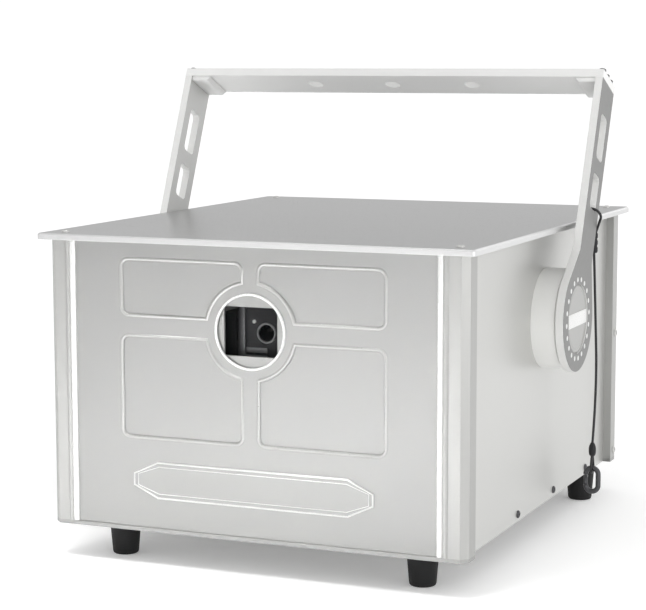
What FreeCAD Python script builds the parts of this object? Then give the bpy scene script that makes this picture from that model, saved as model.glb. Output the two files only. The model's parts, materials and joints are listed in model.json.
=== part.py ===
"""Laser show projector: a sheet-metal housing on four feet, carried in a tilting yoke."""
import math
import os
import re

import FreeCAD
import Part
import Sketcher

# Driving dimensions, in millimetres and degrees
SIZES = {
    # Housing
    "body_width": 322,
    "body_depth": 386,
    "body_height": 210,
    "post_width": 18,
    "post_chamfer": 5,
    "bead_radius": 2.2,
    "bead_sink": 0.7,
    "base_thick": 3,
    "flange_thick": 2,
    "flange_height": 16,
    "side_recess": 6.5,
    "side_thick": 2,
    "front_recess": 0.8,
    "front_thick": 3,
    "rear_recess": 12,
    "rear_thick": 2,
    "lid_overhang": 6.5,
    "lid_thick": 4.5,
    "lid_corner": 3,
    "lid_bevel": 1,
    # Feet
    "foot_height": 26,
    "foot_top_radius": 12,
    "foot_tip_radius": 9.5,
    "front_foot_inset_x": 43,
    "front_foot_inset_y": 31,
    "rear_foot_inset_x": 17,
    "rear_foot_inset_y": 50,
    # Screws
    "screw_radius": 1.5,
    "screw_head_radius": 2.9,
    "screw_head_height": 1.6,
    "screw_grip": 8,
    "side_screw_rise": 2.5,
    "side_screw_pitch": 90,
    "side_screw_shift": 30,
    "post_screw_low": 6,
    "post_screw_pitch": 100,
    # Clearances
    "fit_gap": 0.05,
    "running_gap": 0.3,
    "overrun": 1,
    # Front panel
    "aperture_drop": 60,
    "aperture_radius": 26.2,
    "ring_radius": 27.3,
    "ring_lip": 0.7,
    "ring_rise": 1.8,
    "window_frame_side": 62,
    "window_skin": 1,
    "glass_thick": 2,
    "window_frame_opening_width": 41,
    "window_frame_opening_height": 35,
    "field_side_margin": 41,
    "field_gap": 12.3,
    "field_low": 69,
    "field_below_beam": 7,
    "field_above_beam": 7.3,
    "field_top_margin": 12,
    "field_depth": 0.8,
    "field_corner": 6,
    "field_halo": 34.5,
    "label_side_margin": 50,
    "label_low": 25,
    "label_high": 51.5,
    "label_cut_width": 19,
    "label_cut_height": 9,
    "label_thick": 0.6,
    # Pivot and yoke
    "pivot_drop": 66,
    "pivot_shift": 4,
    "boss_radius": 38,
    "boss_length": 18.2,
    "washer_radius": 30,
    "washer_thick": 1,
    "stud_radius": 5,
    "nut_radius": 9,
    "nut_thick": 6,
    "yoke_tilt": 23.7,
    "arm_width": 35.5,
    "arm_thick": 6,
    "arm_length": 196,
    "disc_radius": 39.8,
    "flare_share": 0.25,
    "slot_width": 17,
    "slot_corner": 4,
    "slot_low_share": 0.4475,
    "slot_low_length_share": 0.1403,
    "slot_high_share": 0.6515,
    "slot_high_length_share": 0.1837,
    "dish_radius": 26,
    "dish_depth": 3,
    "knob_gap": 0.5,
    "knob_base": 1.2,
    "knob_bar_length": 47,
    "knob_bar_width": 10.5,
    "knob_bar_height": 1.3,
    "bar_thick": 6.5,
    "bar_hole_radius": 6.25,
    "bar_hole_pitch": 68,
    "block_length": 17,
    "block_height": 7,
    "block_width": 33,
    "yoke_screw_pitch": 11,
    "yoke_screw_radius": 2,
    "yoke_screw_head": 2.9,
    "yoke_screw_rise": 2.6,
    "yoke_screw_grip": 16,
    # Safety cable
    "wire_radius": 1,
    "ferrule_radius": 2.9,
    "ferrule_length": 16,
    "low_ferrule_length": 10.5,
    "strand_spread": 1.2,
    "eye_radius": 7,
    "low_eye_radius": 3.6,
    "low_eye_length": 13,
    "hook_rod_radius": 2,
    "hook_bend": 5,
    "hook_straight": 8.7,
    "gate_radius": 1.6,
    "cable_top_rise": 45,
    "cable_setback": 53,
    "cable_end_rise": 65.5,
    # Optics
    "optics_drop": 50,
    "optics_thick": 8,
    "optics_inset": 29,
    "optics_front": 12,
    "optics_length": 262,
    "standoff_radius": 7,
    "standoff_inset": 14,
    "galvo_setback": 16,
    "galvo_width": 64,
    "galvo_depth": 46,
    "galvo_floor": 12,
    "galvo_wall": 12,
    "galvo_back": 8,
    "galvo_height": 52,
    "motor_radius": 8,
    "motor_length": 34,
    "mirror_shaft_radius": 1.5,
    "mirror_shaft_length": 7,
    "mirror_width": 9,
    "mirror_height": 11,
    "mirror_thick": 1.2,
    "mirror_root": 2,
    "laser_width": 44,
    "laser_length": 76,
    "laser_height": 40,
    "laser_pitch_share": 0.4545,
    "laser_setback": 160,
    "laser_port_radius": 3,
    "combiner_width": 14,
    "combiner_height": 26,
    "combiner_thick": 4,
    "combiner_foot": 20,
    "combiner_foot_height": 5,
    "combiner_setback": 128,
    "driver_width": 30,
    "driver_length": 92,
    "driver_setback": 40,
    "driver_inset": 6,
    "sink_height": 24,
    "fin_thick": 2,
    "fin_pitch": 6,
    "fin_height": 16,
    # Electronics on the base
    "supply_inset": 33,
    "supply_length": 160,
    "supply_height": 40,
    "supply_x": 30,
    "supply_setback": 49,
    "board_inset": 27,
    "board_length": 130,
    "board_thick": 1.6,
    "board_rise": 10,
    "board_x": 16,
    "board_setback": 49,
    "board_leg_radius": 3,
    "board_leg_inset": 6,
    "chip_side": 22,
    "chip_height": 5,
    # Fans
    "fan_side": 80,
    "fan_depth": 25,
    "fan_bore_radius": 37.5,
    "fan_share": 0.63,
    "fan_drop": 65,
    "fan_hub_radius": 19,
    "fan_hub_depth": 14,
    "fan_mount_depth": 5,
    "fan_strut_width": 5,
    "fan_blade_gap": 1.5,
    "fan_blade_thick": 1.6,
    "fan_blade_depth": 13,
    "fan_blade_pitch": 35,
    "fan_shaft_radius": 1.5,
    "fan_shaft_length": 4,
    "guard_wire_radius": 1,
    "guard_bar_radius": 1.25,
    "guard_lift": 1.6,
    "guard_inner_radius": 12,
    "guard_step": 10,
    # Rear connectors and controls
    "flange_lip": 2,
    "inlet_share": 0.825,
    "inlet_rise": 45,
    "inlet_width": 27.5,
    "inlet_height": 20,
    "inlet_depth": 24,
    "inlet_wall": 2,
    "inlet_socket_depth": 16,
    "pin_width": 2,
    "pin_height": 4,
    "pin_length": 10,
    "pin_pitch": 7,
    "pin_drop": 4,
    "rocker_share": 0.53,
    "rocker_width": 13,
    "rocker_height": 19,
    "rocker_depth": 20,
    "rocker_wall": 1.5,
    "rocker_well": 12,
    "rocker_radius": 7,
    "rocker_flat": 4.5,
    "key_share": 0.308,
    "key_flange_radius": 11,
    "key_body_radius": 9,
    "key_flange_rise": 4,
    "key_depth": 25,
    "key_barrel_radius": 6,
    "key_barrel_length": 22,
    "key_slot_width": 2,
    "key_slot_height": 7,
    "key_slot_depth": 5,
    "dmx_in_share": 0.042,
    "dmx_out_share": -0.224,
    "dmx_flange_width": 26,
    "dmx_flange_height": 31,
    "dmx_radius": 11,
    "dmx_depth": 20,
    "dmx_socket_radius": 9.3,
    "dmx_socket_depth": 12,
    "dmx_pin_radius": 1.2,
    "dmx_pin_circle": 5,
    "dmx_pin_length": 7,
    "ilda_share": -0.7,
    "ilda_width": 53,
    "ilda_height": 12.5,
    "ilda_shell_width": 39,
    "ilda_shell_height": 8.4,
    "ilda_shell_rise": 6,
    "ilda_shell_wall": 0.8,
    "ilda_depth": 9,
    "display_drop": 42,
    "display_width": 42,
    "display_height": 17,
    "panel_board_width": 60,
    "panel_board_height": 62,
    "panel_board_thick": 1.6,
    "panel_board_gap": 7,
    "display_margin": 2,
    "button_drop": 72,
    "button_pitch": 12,
    "button_radius": 3,
    "button_rise_out": 2.5,
    "button_travel": 1,
    "tact_side": 5,
    "button_flange": 0.8,
}
FAN_BLADES = 7
GUARD_RINGS = 3
FINS = 5
BUTTONS = 4
QUARTER_TURN = 90
FULL_TURN = 360
ROUTE_SHARE = 0.45

os.makedirs("parts", exist_ok=True)
doc = FreeCAD.newDocument("laser_projector")
sheet = doc.addObject("Spreadsheet::Sheet", "Sizes")
for row, (alias, number) in enumerate(SIZES.items(), 1):
    sheet.set(f"A{row}", alias)
    sheet.set(f"B{row}", str(number))
    sheet.setAlias(f"B{row}", alias)
doc.recompute()

V = FreeCAD.Vector
X_AXIS = V(1, 0, 0)
Y_AXIS = V(0, 1, 0)
Z_AXIS = V(0, 0, 1)
LAY_ALONG = {
    "x": FreeCAD.Rotation(Y_AXIS, QUARTER_TURN),
    "y": FreeCAD.Rotation(X_AXIS, -QUARTER_TURN),
    "z": FreeCAD.Rotation(),
}
WORD = re.compile(r"[a-z][a-z_]*")
nodes = []


def size(alias):
    """The number in one cell of the sheet."""
    return float(sheet.get(alias))


def sized(text):
    """An expression in which each named size is read from the sheet."""
    def named(found):
        word = found.group()
        return "Sizes." + word if word in SIZES else word
    return WORD.sub(named, text)


def place(obj, x, y, z):
    """Put an object's own origin at a point given as three expressions."""
    for axis, text in zip("xyz", (x, y, z)):
        obj.setExpression("Placement.Base." + axis, sized(text))


def block(name, corner, extent):
    """A box from its lowest corner and its three side lengths."""
    obj = doc.addObject("Part::Box", name)
    for prop, text in zip(("Length", "Width", "Height"), extent):
        obj.setExpression(prop, sized(text))
    place(obj, *corner)
    return obj


def rod(name, along, radius, length, start):
    """A cylinder that runs from its start centre along one axis."""
    obj = doc.addObject("Part::Cylinder", name)
    obj.setExpression("Radius", sized(radius))
    obj.setExpression("Height", sized(length))
    obj.Placement = FreeCAD.Placement(V(), LAY_ALONG[along])
    place(obj, *start)
    return obj


def group(name, parts):
    """Separate solids that share one node."""
    obj = doc.addObject("Part::Compound", name)
    obj.Links = parts
    return obj


def fuse(name, parts):
    """One solid from several that meet."""
    obj = doc.addObject("Part::MultiFuse", name)
    obj.Shapes = parts
    obj.Refine = True
    return obj


def cut(name, base, tools):
    """A solid less the tools given."""
    obj = doc.addObject("Part::Cut", name)
    obj.Base = base
    obj.Tool = tools[0] if len(tools) == 1 else group(name + "_tools", tools)
    return obj


def mirror(name, source, normal=X_AXIS):
    """The same piece on the other side of the middle plane."""
    obj = doc.addObject("Part::Mirroring", name)
    obj.Source = source
    obj.Normal = normal
    return obj


def edge_round(kind, name, base, alias, wanted):
    """A fillet or chamfer, of one named size, on the edges that a test picks."""
    doc.recompute()
    obj = doc.addObject("Part::" + kind, name)
    obj.Base = base
    picked = [n for n, edge in enumerate(base.Shape.Edges, 1) if wanted(edge)]
    obj.Edges = [(n, size(alias), size(alias)) for n in picked]
    return obj


def runs_along(axis):
    """A test for straight edges that run along one axis."""

    def wanted(edge):
        span = edge.Vertexes[-1].Point - edge.Vertexes[0].Point
        return edge.Length and abs(abs(span.dot(axis)) - edge.Length) < Part.Precision.confusion()
    return wanted


def on_top(base):
    """A test for edges that lie in a shape's highest plane."""
    doc.recompute()
    top = base.Shape.BoundBox.ZMax
    return lambda edge: abs(edge.BoundBox.ZMin - top) < Part.Precision.confusion()


def pad(name, plane, points, length):
    """A body padded from a closed outline whose points are pairs of expressions."""
    body = doc.addObject("PartDesign::Body", name)
    sketch = body.newObject("Sketcher::SketchObject", name + "_outline")
    origin = next(item for item in body.Origin.OriginFeatures if item.Role == plane)
    sketch.AttachmentSupport = (origin, [""])
    sketch.MapMode = "FlatFace"
    spots = [V(*(float(doc.Sizes.evalExpression(text)) for text in pair), 0) for pair in points]
    count = len(points)
    for n in range(count):
        sketch.addGeometry(Part.LineSegment(spots[n], spots[(n + 1) % count]), False)
    for n in range(count):
        sketch.addConstraint(Sketcher.Constraint("Coincident", n, 2, (n + 1) % count, 1))
    for n, pair in enumerate(points):
        for way, length_now, text in zip(("DistanceX", "DistanceY"), spots[n], pair):
            number = sketch.addConstraint(Sketcher.Constraint(way, -1, 1, n, 1, length_now))
            sketch.setExpression(f"Constraints[{number}]", sized(text))
    feature = body.newObject("PartDesign::Pad", name + "_pad")
    feature.Profile = sketch
    feature.setExpression("Length", sized(length))
    return body


def node(name, obj):
    """Name a finished piece, which is then written to a file of that name."""
    obj.Label = name
    nodes.append(obj)
    return obj


def screw(name, along, sign, seat, radius="screw_radius", head="screw_head_radius",
          rise="screw_head_height", grip="screw_grip"):
    """A pan-head screw whose head stands on its seat and whose shank runs inward."""
    axis = "xyz".index(along)
    lifted = list(seat)
    sunk = list(seat)
    if sign > 0:
        sunk[axis] = f"{seat[axis]}-{grip}"
    else:
        lifted[axis] = f"{seat[axis]}-{rise}"
    return fuse(name, [rod(name + "_head", along, head, rise, lifted),
                       rod(name + "_shank", along, radius, grip, sunk)])


# Planes and heights that several pieces share
HALF_WIDTH = "body_width/2"
HALF_DEPTH = "body_depth/2"
BASE_TOP = "(foot_height+base_thick)"
WALL_HEIGHT = "(body_height-base_thick)"
LID_UNDER = "(foot_height+body_height)"
POST_X = "(body_width/2-post_width)"
POST_Y = "(body_depth/2-post_width)"
SIDE_FACE = "(body_width/2-side_recess)"
FRONT_FACE = "(front_recess-body_depth/2)"
FRONT_INSIDE = "(front_recess+front_thick-body_depth/2)"
REAR_FACE = "(body_depth/2-rear_recess)"
REAR_INSIDE = "(body_depth/2-rear_recess-rear_thick)"
PIVOT_Z = "(foot_height+body_height-pivot_drop)"
BEAM_Z = "(foot_height+body_height-aperture_drop)"
ARM_INSIDE = f"({SIDE_FACE}+boss_length+washer_thick+running_gap)"
ARM_OUTSIDE = f"({ARM_INSIDE}+arm_thick)"
BAR_UNDER = "(arm_length-bar_thick)"
FLARE_START = "(arm_length*flare_share)"
LABEL_HALF = f"({POST_X}-label_side_margin)"
SCREW_HOLE = "screw_radius+fit_gap"


def drilled(name, along, radius, length, spots):
    """One hole tool at each of several start points."""
    return [rod(f"{name}_{n}", along, radius, length, spot) for n, spot in enumerate(spots)]


# Base plate, with a flange turned up along each side
base_sheet = block("base_sheet", (f"-{HALF_WIDTH}", f"-{HALF_DEPTH}", "foot_height"),
                   ("body_width", "body_depth", "base_thick"))
base_chamfer = edge_round("Chamfer", "base_chamfer", base_sheet, "post_chamfer", runs_along(Z_AXIS))
side_rebate = block("side_rebate", (f"{SIDE_FACE}-side_thick", f"-{POST_Y}", "foot_height-overrun"),
                    ("side_recess+side_thick+overrun", f"2*{POST_Y}", "base_thick+2*overrun"))
base_trim = cut("base_trim", base_chamfer, [side_rebate, mirror("side_rebate_left", side_rebate)])
base_flange = block("base_flange", (f"{SIDE_FACE}-side_thick-flange_thick", f"-{POST_Y}", BASE_TOP),
                    ("flange_thick", f"2*{POST_Y}", "flange_height"))
side_screw_spots = [(f"side_screw_shift{step:+d}*side_screw_pitch", f"{BASE_TOP}+side_screw_rise")
                    for step in (-1, 0, 1)]
side_holes = drilled("side_hole", "x", SCREW_HOLE, "side_thick+flange_thick+2*overrun",
                     [(f"{SIDE_FACE}-side_thick-flange_thick-overrun", y, z) for y, z in side_screw_spots])
flange_right = cut("flange_right", base_flange, side_holes)
node("base_plate", fuse("base_plate", [base_trim, flange_right, mirror("flange_left", flange_right)]))

# Corner posts, chamfered outside, with a half-round bead beside the front and rear panels
post_outline = pad("post_outline", "XY_Plane", [
    ("body_width/2-post_width", "-body_depth/2"),
    ("body_width/2-post_chamfer", "-body_depth/2"),
    ("body_width/2", "post_chamfer-body_depth/2"),
    ("body_width/2", "post_width-body_depth/2"),
    ("body_width/2-post_width", "post_width-body_depth/2"),
], WALL_HEIGHT)
place(post_outline, "0", "0", BASE_TOP)
post_bead = rod("post_bead", "z", "bead_radius", WALL_HEIGHT,
                (f"{POST_X}+bead_radius", f"bead_sink-{HALF_DEPTH}", BASE_TOP))
post_centre = ("body_width/2-post_width/2", "post_width/2-body_depth/2")
lid_hole = rod("lid_hole", "z", SCREW_HOLE, "screw_grip+lid_thick+overrun",
               (*post_centre, f"{LID_UNDER}-screw_grip"))
front_post = cut("front_post", fuse("beaded_post", [post_outline, post_bead]), [lid_hole])
rear_post_blank = mirror("rear_post_blank", front_post, Y_AXIS)
post_screw_spots = [(f"{HALF_DEPTH}-post_width/2", f"{BASE_TOP}+post_screw_low+{step}*post_screw_pitch")
                    for step in (0, 1)]
post_holes = drilled("post_hole", "x", SCREW_HOLE, "screw_grip+overrun",
                     [(f"{HALF_WIDTH}-screw_grip", y, z) for y, z in post_screw_spots])
rear_post = cut("rear_post", rear_post_blank, post_holes)
node("corner_posts", group("corner_posts", [
    front_post, mirror("front_post_left", front_post), rear_post, mirror("rear_post_left", rear_post)]))

# Side panels, set back between the posts
side_sheet = block("side_sheet", (f"{SIDE_FACE}-side_thick", f"-{POST_Y}", "foot_height"),
                   ("side_thick", f"2*{POST_Y}", "body_height"))
stud_hole = rod("stud_hole", "x", "stud_radius+fit_gap", "side_thick+boss_length+2*overrun",
                (f"{SIDE_FACE}-side_thick-overrun", "pivot_shift", PIVOT_Z))
side_panel = cut("side_panel", side_sheet, [stud_hole, *side_holes])
node("side_panel_right", side_panel)
node("side_panel_left", mirror("side_panel_mirror", side_panel))

# Lid with rounded corners and a bevelled top edge
lid_sheet = block("lid_sheet", (f"-{HALF_WIDTH}-lid_overhang", f"-{HALF_DEPTH}-lid_overhang", LID_UNDER),
                  ("body_width+2*lid_overhang", "body_depth+2*lid_overhang", "lid_thick"))
lid_round = edge_round("Fillet", "lid_round", lid_sheet, "lid_corner", runs_along(Z_AXIS))
lid_edge = edge_round("Chamfer", "lid_edge", lid_round, "lid_bevel", on_top(lid_round))
lid_hole_left = mirror("lid_hole_left", lid_hole)
lid_holes = [lid_hole, lid_hole_left, mirror("lid_hole_rear", lid_hole, Y_AXIS),
             mirror("lid_hole_rear_left", lid_hole_left, Y_AXIS)]
node("lid", cut("lid", lid_edge, lid_holes))

# Screws of the lid, the side panels and the rear posts
lid_screw = screw("lid_screw", "z", 1, (*post_centre, f"{LID_UNDER}+lid_thick"))
lid_screw_left = mirror("lid_screw_left", lid_screw)
lid_screws = [lid_screw, lid_screw_left, mirror("lid_screw_rear", lid_screw, Y_AXIS),
              mirror("lid_screw_rear_left", lid_screw_left, Y_AXIS)]
panel_screw_seats = [(SIDE_FACE, y, z) for y, z in side_screw_spots]
panel_screw_seats += [(HALF_WIDTH, y, z) for y, z in post_screw_spots]
panel_screws = [screw(f"panel_screw_{n}", "x", 1, seat) for n, seat in enumerate(panel_screw_seats)]
panel_screws += [mirror(item.Name + "_left", item) for item in panel_screws]
node("case_screws", group("case_screws", lid_screws + panel_screws))

# Tapered rubber feet
feet = []
for depth_word, depth_sign in (("front", "-"), ("rear", "")):
    for width_word, width_sign in (("left", "-"), ("right", "")):
        foot = doc.addObject("Part::Cone", f"foot_{depth_word}_{width_word}")
        foot.setExpression("Radius1", sized("foot_tip_radius"))
        foot.setExpression("Radius2", sized("foot_top_radius"))
        foot.setExpression("Height", sized("foot_height"))
        place(foot, f"{width_sign}(body_width/2-{depth_word}_foot_inset_x)",
              f"{depth_sign}(body_depth/2-{depth_word}_foot_inset_y)", "0")
        feet.append(foot)
node("feet", group("feet", feet))

# Front panel with the aperture and four pressed fields that stop short of it
front_sheet = block("front_sheet", (f"-{POST_X}", FRONT_FACE, BASE_TOP),
                    (f"2*{POST_X}", "front_thick", WALL_HEIGHT))
aperture = rod("aperture", "y", "aperture_radius", "front_thick+2*overrun",
               ("0", f"{FRONT_FACE}-overrun", BEAM_Z))
halo = rod("field_halo_round", "y", "field_halo", "field_depth+2*overrun",
           ("0", f"{FRONT_FACE}-overrun", BEAM_Z))
pressed = []
for row_word, low, high in (("low", "(foot_height+field_low)", f"({BEAM_Z}-field_below_beam)"),
                            ("high", f"({BEAM_Z}+field_above_beam)", f"({LID_UNDER}-field_top_margin)")):
    sheet_field = block(f"field_{row_word}_block", ("field_gap/2", f"{FRONT_FACE}-overrun", low),
                        (f"{POST_X}-field_side_margin-field_gap/2", "field_depth+overrun", f"{high}-{low}"))
    soft_field = edge_round("Fillet", f"field_{row_word}_round", sheet_field, "field_corner",
                            runs_along(Y_AXIS))
    field = cut(f"field_{row_word}_right", soft_field, [halo])
    pressed += [field, mirror(f"field_{row_word}_left", field)]
FRAME_FACE = f"({FRONT_FACE}+window_skin)"
FRAME_LOW = f"({BEAM_Z}-window_frame_side/2)"
frame_pocket = block("frame_pocket", ("-window_frame_side/2-fit_gap", FRAME_FACE, f"{FRAME_LOW}-fit_gap"),
                     ("window_frame_side+2*fit_gap", "front_thick", "window_frame_side+2*fit_gap"))
node("front_panel", cut("front_panel", front_sheet, [aperture, frame_pocket, *pressed]))

# Window: trim ring, the metal frame let into the back of the panel, and the glass behind it
ring_disc = rod("ring_disc", "y", "ring_radius", "ring_rise", ("0", f"{FRONT_FACE}-ring_rise", BEAM_Z))
ring_hole = rod("ring_hole", "y", "aperture_radius-ring_lip", "ring_rise+2*overrun",
                ("0", f"{FRONT_FACE}-ring_rise-overrun", BEAM_Z))
node("aperture_ring", cut("aperture_ring", ring_disc, [ring_hole]))
frame_sheet = block("frame_sheet", ("-window_frame_side/2", FRAME_FACE, FRAME_LOW),
                    ("window_frame_side", "front_thick-window_skin", "window_frame_side"))
frame_hole = block("frame_hole", ("-window_frame_opening_width/2", f"{FRAME_FACE}-overrun",
                                  f"{BEAM_Z}-window_frame_opening_height/2"),
                   ("window_frame_opening_width", "front_thick+2*overrun", "window_frame_opening_height"))
node("window_frame", cut("window_frame", frame_sheet, [frame_hole]))
node("window_glass", block("window_glass", ("-window_frame_side/2", FRONT_INSIDE, FRAME_LOW),
                           ("window_frame_side", "glass_thick", "window_frame_side")))

# Bare label plate with cut corners
label = pad("label_plate", "XZ_Plane", [
    (f"label_cut_width-{LABEL_HALF}", "label_low"),
    (f"{LABEL_HALF}-label_cut_width", "label_low"),
    (LABEL_HALF, "label_low+label_cut_height"),
    (LABEL_HALF, "label_high-label_cut_height"),
    (f"{LABEL_HALF}-label_cut_width", "label_high"),
    (f"label_cut_width-{LABEL_HALF}", "label_high"),
    (f"-{LABEL_HALF}", "label_high-label_cut_height"),
    (f"-{LABEL_HALF}", "label_low+label_cut_height"),
], "label_thick")
place(label, "0", FRONT_FACE, "foot_height")
node("label_plate", label)

# Pivot on each side: boss, friction washer and threaded stud with its nut inside
boss_disc = rod("boss_disc", "x", "boss_radius", "boss_length", (SIDE_FACE, "pivot_shift", PIVOT_Z))
boss = cut("boss", boss_disc, [stud_hole])
washer_disc = rod("washer_disc", "x", "washer_radius", "washer_thick",
                  (f"{SIDE_FACE}+boss_length", "pivot_shift", PIVOT_Z))
washer_hole = rod("washer_hole", "x", "stud_radius+fit_gap", "washer_thick+2*overrun",
                  (f"{SIDE_FACE}+boss_length-overrun", "pivot_shift", PIVOT_Z))
washer = cut("washer", washer_disc, [washer_hole])
KNOB_SEAT = f"({ARM_OUTSIDE}-dish_depth+running_gap)"
NUT_END = f"({SIDE_FACE}-side_thick-nut_thick)"
stud_rod = rod("stud_rod", "x", "stud_radius", f"{KNOB_SEAT}+knob_base-running_gap-{NUT_END}",
               (NUT_END, "pivot_shift", PIVOT_Z))
stud_nut = rod("stud_nut", "x", "nut_radius", "nut_thick", (NUT_END, "pivot_shift", PIVOT_Z))
stud = fuse("stud", [stud_rod, stud_nut])
node("pivot_boss_right", boss)
node("pivot_boss_left", mirror("boss_left", boss))
node("friction_washers", group("friction_washers", [washer, mirror("washer_left", washer)]))
node("pivot_studs", group("pivot_studs", [stud, mirror("stud_left", stud)]))

# Yoke, drawn upright about its pivot and then leaned back


def lean(obj):
    """Tilt a piece that was drawn upright about the pivot, and lift it there."""
    obj.Placement = FreeCAD.Placement(V(), FreeCAD.Rotation(X_AXIS, -size("yoke_tilt")))
    obj.setExpression("Placement.Rotation.Angle", sized("-yoke_tilt"))
    place(obj, "0", "pivot_shift", PIVOT_Z)
    return obj


FLARE = f"atan2({FLARE_START}; arm_width/2)-acos(disc_radius/sqrt({FLARE_START}^2+arm_width^2/4))"
arm_outline = pad("arm_outline", "YZ_Plane", [
    ("-arm_width/2", BAR_UNDER),
    ("-arm_width/2", FLARE_START),
    (f"-disc_radius*cos({FLARE})", f"disc_radius*sin({FLARE})"),
    (f"disc_radius*cos({FLARE})", f"disc_radius*sin({FLARE})"),
    ("arm_width/2", FLARE_START),
    ("arm_width/2", BAR_UNDER),
], "arm_thick")
place(arm_outline, ARM_INSIDE, "0", "0")
arm_disc = rod("arm_disc", "x", "disc_radius", "arm_thick", (ARM_INSIDE, "0", "0"))
arm_bore = rod("arm_bore", "x", "stud_radius+fit_gap", "arm_thick+2*overrun",
               (f"{ARM_INSIDE}-overrun", "0", "0"))
arm_dish = rod("arm_dish", "x", "dish_radius", "dish_depth+overrun",
               (f"{ARM_OUTSIDE}-dish_depth", "0", "0"))
arm_slots = []
for name in ("slot_low", "slot_high"):
    slot_block = block(name + "_block",
                       (f"{ARM_INSIDE}-overrun", "-slot_width/2", f"arm_length*{name}_share"),
                       ("arm_thick+2*overrun", "slot_width", f"arm_length*{name}_length_share"))
    arm_slots.append(edge_round("Fillet", name + "_round", slot_block, "slot_corner", runs_along(X_AXIS)))
yoke_screw_spots = [(f"{ARM_INSIDE}+arm_thick/2", f"{step}*yoke_screw_pitch") for step in (-1, 0, 1)]
yoke_screw_holes = drilled("yoke_screw_hole", "z", "yoke_screw_radius+fit_gap", "yoke_screw_grip+2*overrun",
                           [(x, y, "arm_length-yoke_screw_grip-overrun") for x, y in yoke_screw_spots])
arm = lean(cut("arm", fuse("arm_blank", [arm_outline, arm_disc]),
               [arm_bore, arm_dish, *arm_slots, *yoke_screw_holes]))
node("yoke_arm_right", arm)
node("yoke_arm_left", mirror("arm_left", arm))

bar_blank = block("bar_blank", (f"-{ARM_OUTSIDE}", "-arm_width/2", BAR_UNDER),
                  (f"2*{ARM_OUTSIDE}", "arm_width", "bar_thick"))
clamp_holes = drilled("clamp_hole", "z", "bar_hole_radius", "bar_thick+2*overrun",
                      [(f"{step}*bar_hole_pitch", "0", f"{BAR_UNDER}-overrun") for step in (-1, 0, 1)])
bar_screw_holes = yoke_screw_holes + [mirror(hole.Name + "_left", hole) for hole in yoke_screw_holes]
node("yoke_crossbar", lean(cut("yoke_crossbar", bar_blank, clamp_holes + bar_screw_holes)))

corner_block = block("corner_block",
                     (f"{ARM_INSIDE}-block_length", "-block_width/2", f"{BAR_UNDER}-block_height"),
                     ("block_length", "block_width", "block_height"))
corner_block_left = mirror("corner_block_left", corner_block)
node("yoke_corner_blocks", lean(group("yoke_corner_blocks", [corner_block, corner_block_left])))

yoke_screws = [screw(f"yoke_screw_{n}", "z", 1, (x, y, "arm_length"), "yoke_screw_radius", "yoke_screw_head",
                     "yoke_screw_rise", "yoke_screw_grip") for n, (x, y) in enumerate(yoke_screw_spots)]
yoke_screws += [mirror(item.Name + "_left", item) for item in yoke_screws]
node("yoke_screws", lean(group("yoke_screws", yoke_screws)))

# Lock knobs, flush in the dish of each arm, with a grip bar across them
knob_disc = rod("knob_disc", "x", "dish_radius-knob_gap", "knob_base", (KNOB_SEAT, "pivot_shift", PIVOT_Z))
knob_bore = rod("knob_bore", "x", "stud_radius+fit_gap", "knob_base+overrun",
                (f"{KNOB_SEAT}-overrun", "pivot_shift", PIVOT_Z))
knob_bar = block("knob_bar",
                 (f"{KNOB_SEAT}+knob_base", "pivot_shift-knob_bar_length/2", f"{PIVOT_Z}-knob_bar_width/2"),
                 ("knob_bar_height", "knob_bar_length", "knob_bar_width"))
knob = fuse("knob", [cut("knob_ring", knob_disc, [knob_bore]), knob_bar])
node("lock_knob_right", knob)
node("lock_knob_left", mirror("knob_left", knob))

# Safety cable: an eye through the lower slot of the right arm, a hanging stretch, and a snap hook
CABLE_OUT = (0, 1.3, 3.4, 1)
CABLE_BACK = (0, 1.4, 1.8, 0)
CABLE_DROP_SHARES = (0, 0.29, 0.71, 1)


def value(text):
    """The number that an expression of named sizes gives."""
    return float(sheet.evalExpression(text))


def yoke_point(x, across, up):
    """A point of the leaned yoke, from its place on the upright one."""
    turn = FreeCAD.Rotation(X_AXIS, -size("yoke_tilt"))
    return turn.multVec(V(x, across, up)) + V(0, size("pivot_shift"), value(PIVOT_Z))


def swept(path, radius):
    """A round wire along a path of tangent lines and arcs."""
    first = path.OrderedEdges[0]
    start = first.valueAt(first.FirstParameter)
    way = first.tangentAt(first.FirstParameter)
    ring = Part.Wire([Part.makeCircle(radius, start, way)])
    return path.makePipeShell([ring], True, False)


def eye(tip, far, radius, side):
    """A teardrop of wire that leaves a ferrule at its tip and turns round at its far point."""
    along = (far - tip).normalize()
    rise = (far - tip).Length - radius
    spread = size("strand_spread")
    reach = math.hypot(spread, rise)
    angle = math.atan2(-rise, spread) + math.acos(radius / reach)
    across = radius * math.cos(angle)
    touch = rise + radius * math.sin(angle)
    starts = [tip + side * (sign * spread) for sign in (1, -1)]
    touches = [tip + side * (sign * across) + along * touch for sign in (1, -1)]
    path = Part.Wire([Part.makeLine(starts[0], touches[0]), Part.Arc(touches[0], far, touches[1]).toShape(),
                      Part.makeLine(touches[1], starts[1])])
    return swept(path, size("wire_radius"))


def bent_path(points):
    """Straight runs joined by tangent arcs, each as large as its two runs allow."""
    edges = []
    here = points[0]
    for before, corner, after in zip(points, points[1:], points[2:]):
        back = (before - corner).normalize()
        ahead = (after - corner).normalize()
        half = back.getAngle(ahead) / 2
        trim = ROUTE_SHARE * min((before - corner).Length, (after - corner).Length)
        radius = trim * math.tan(half)
        middle = corner + (back + ahead).normalize() * (math.hypot(trim, radius) - radius)
        edges.append(Part.makeLine(here, corner + back * trim))
        edges.append(Part.Arc(corner + back * trim, middle, corner + ahead * trim).toShape())
        here = corner + ahead * trim
    edges.append(Part.makeLine(here, points[-1]))
    return Part.Wire(edges)


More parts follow.
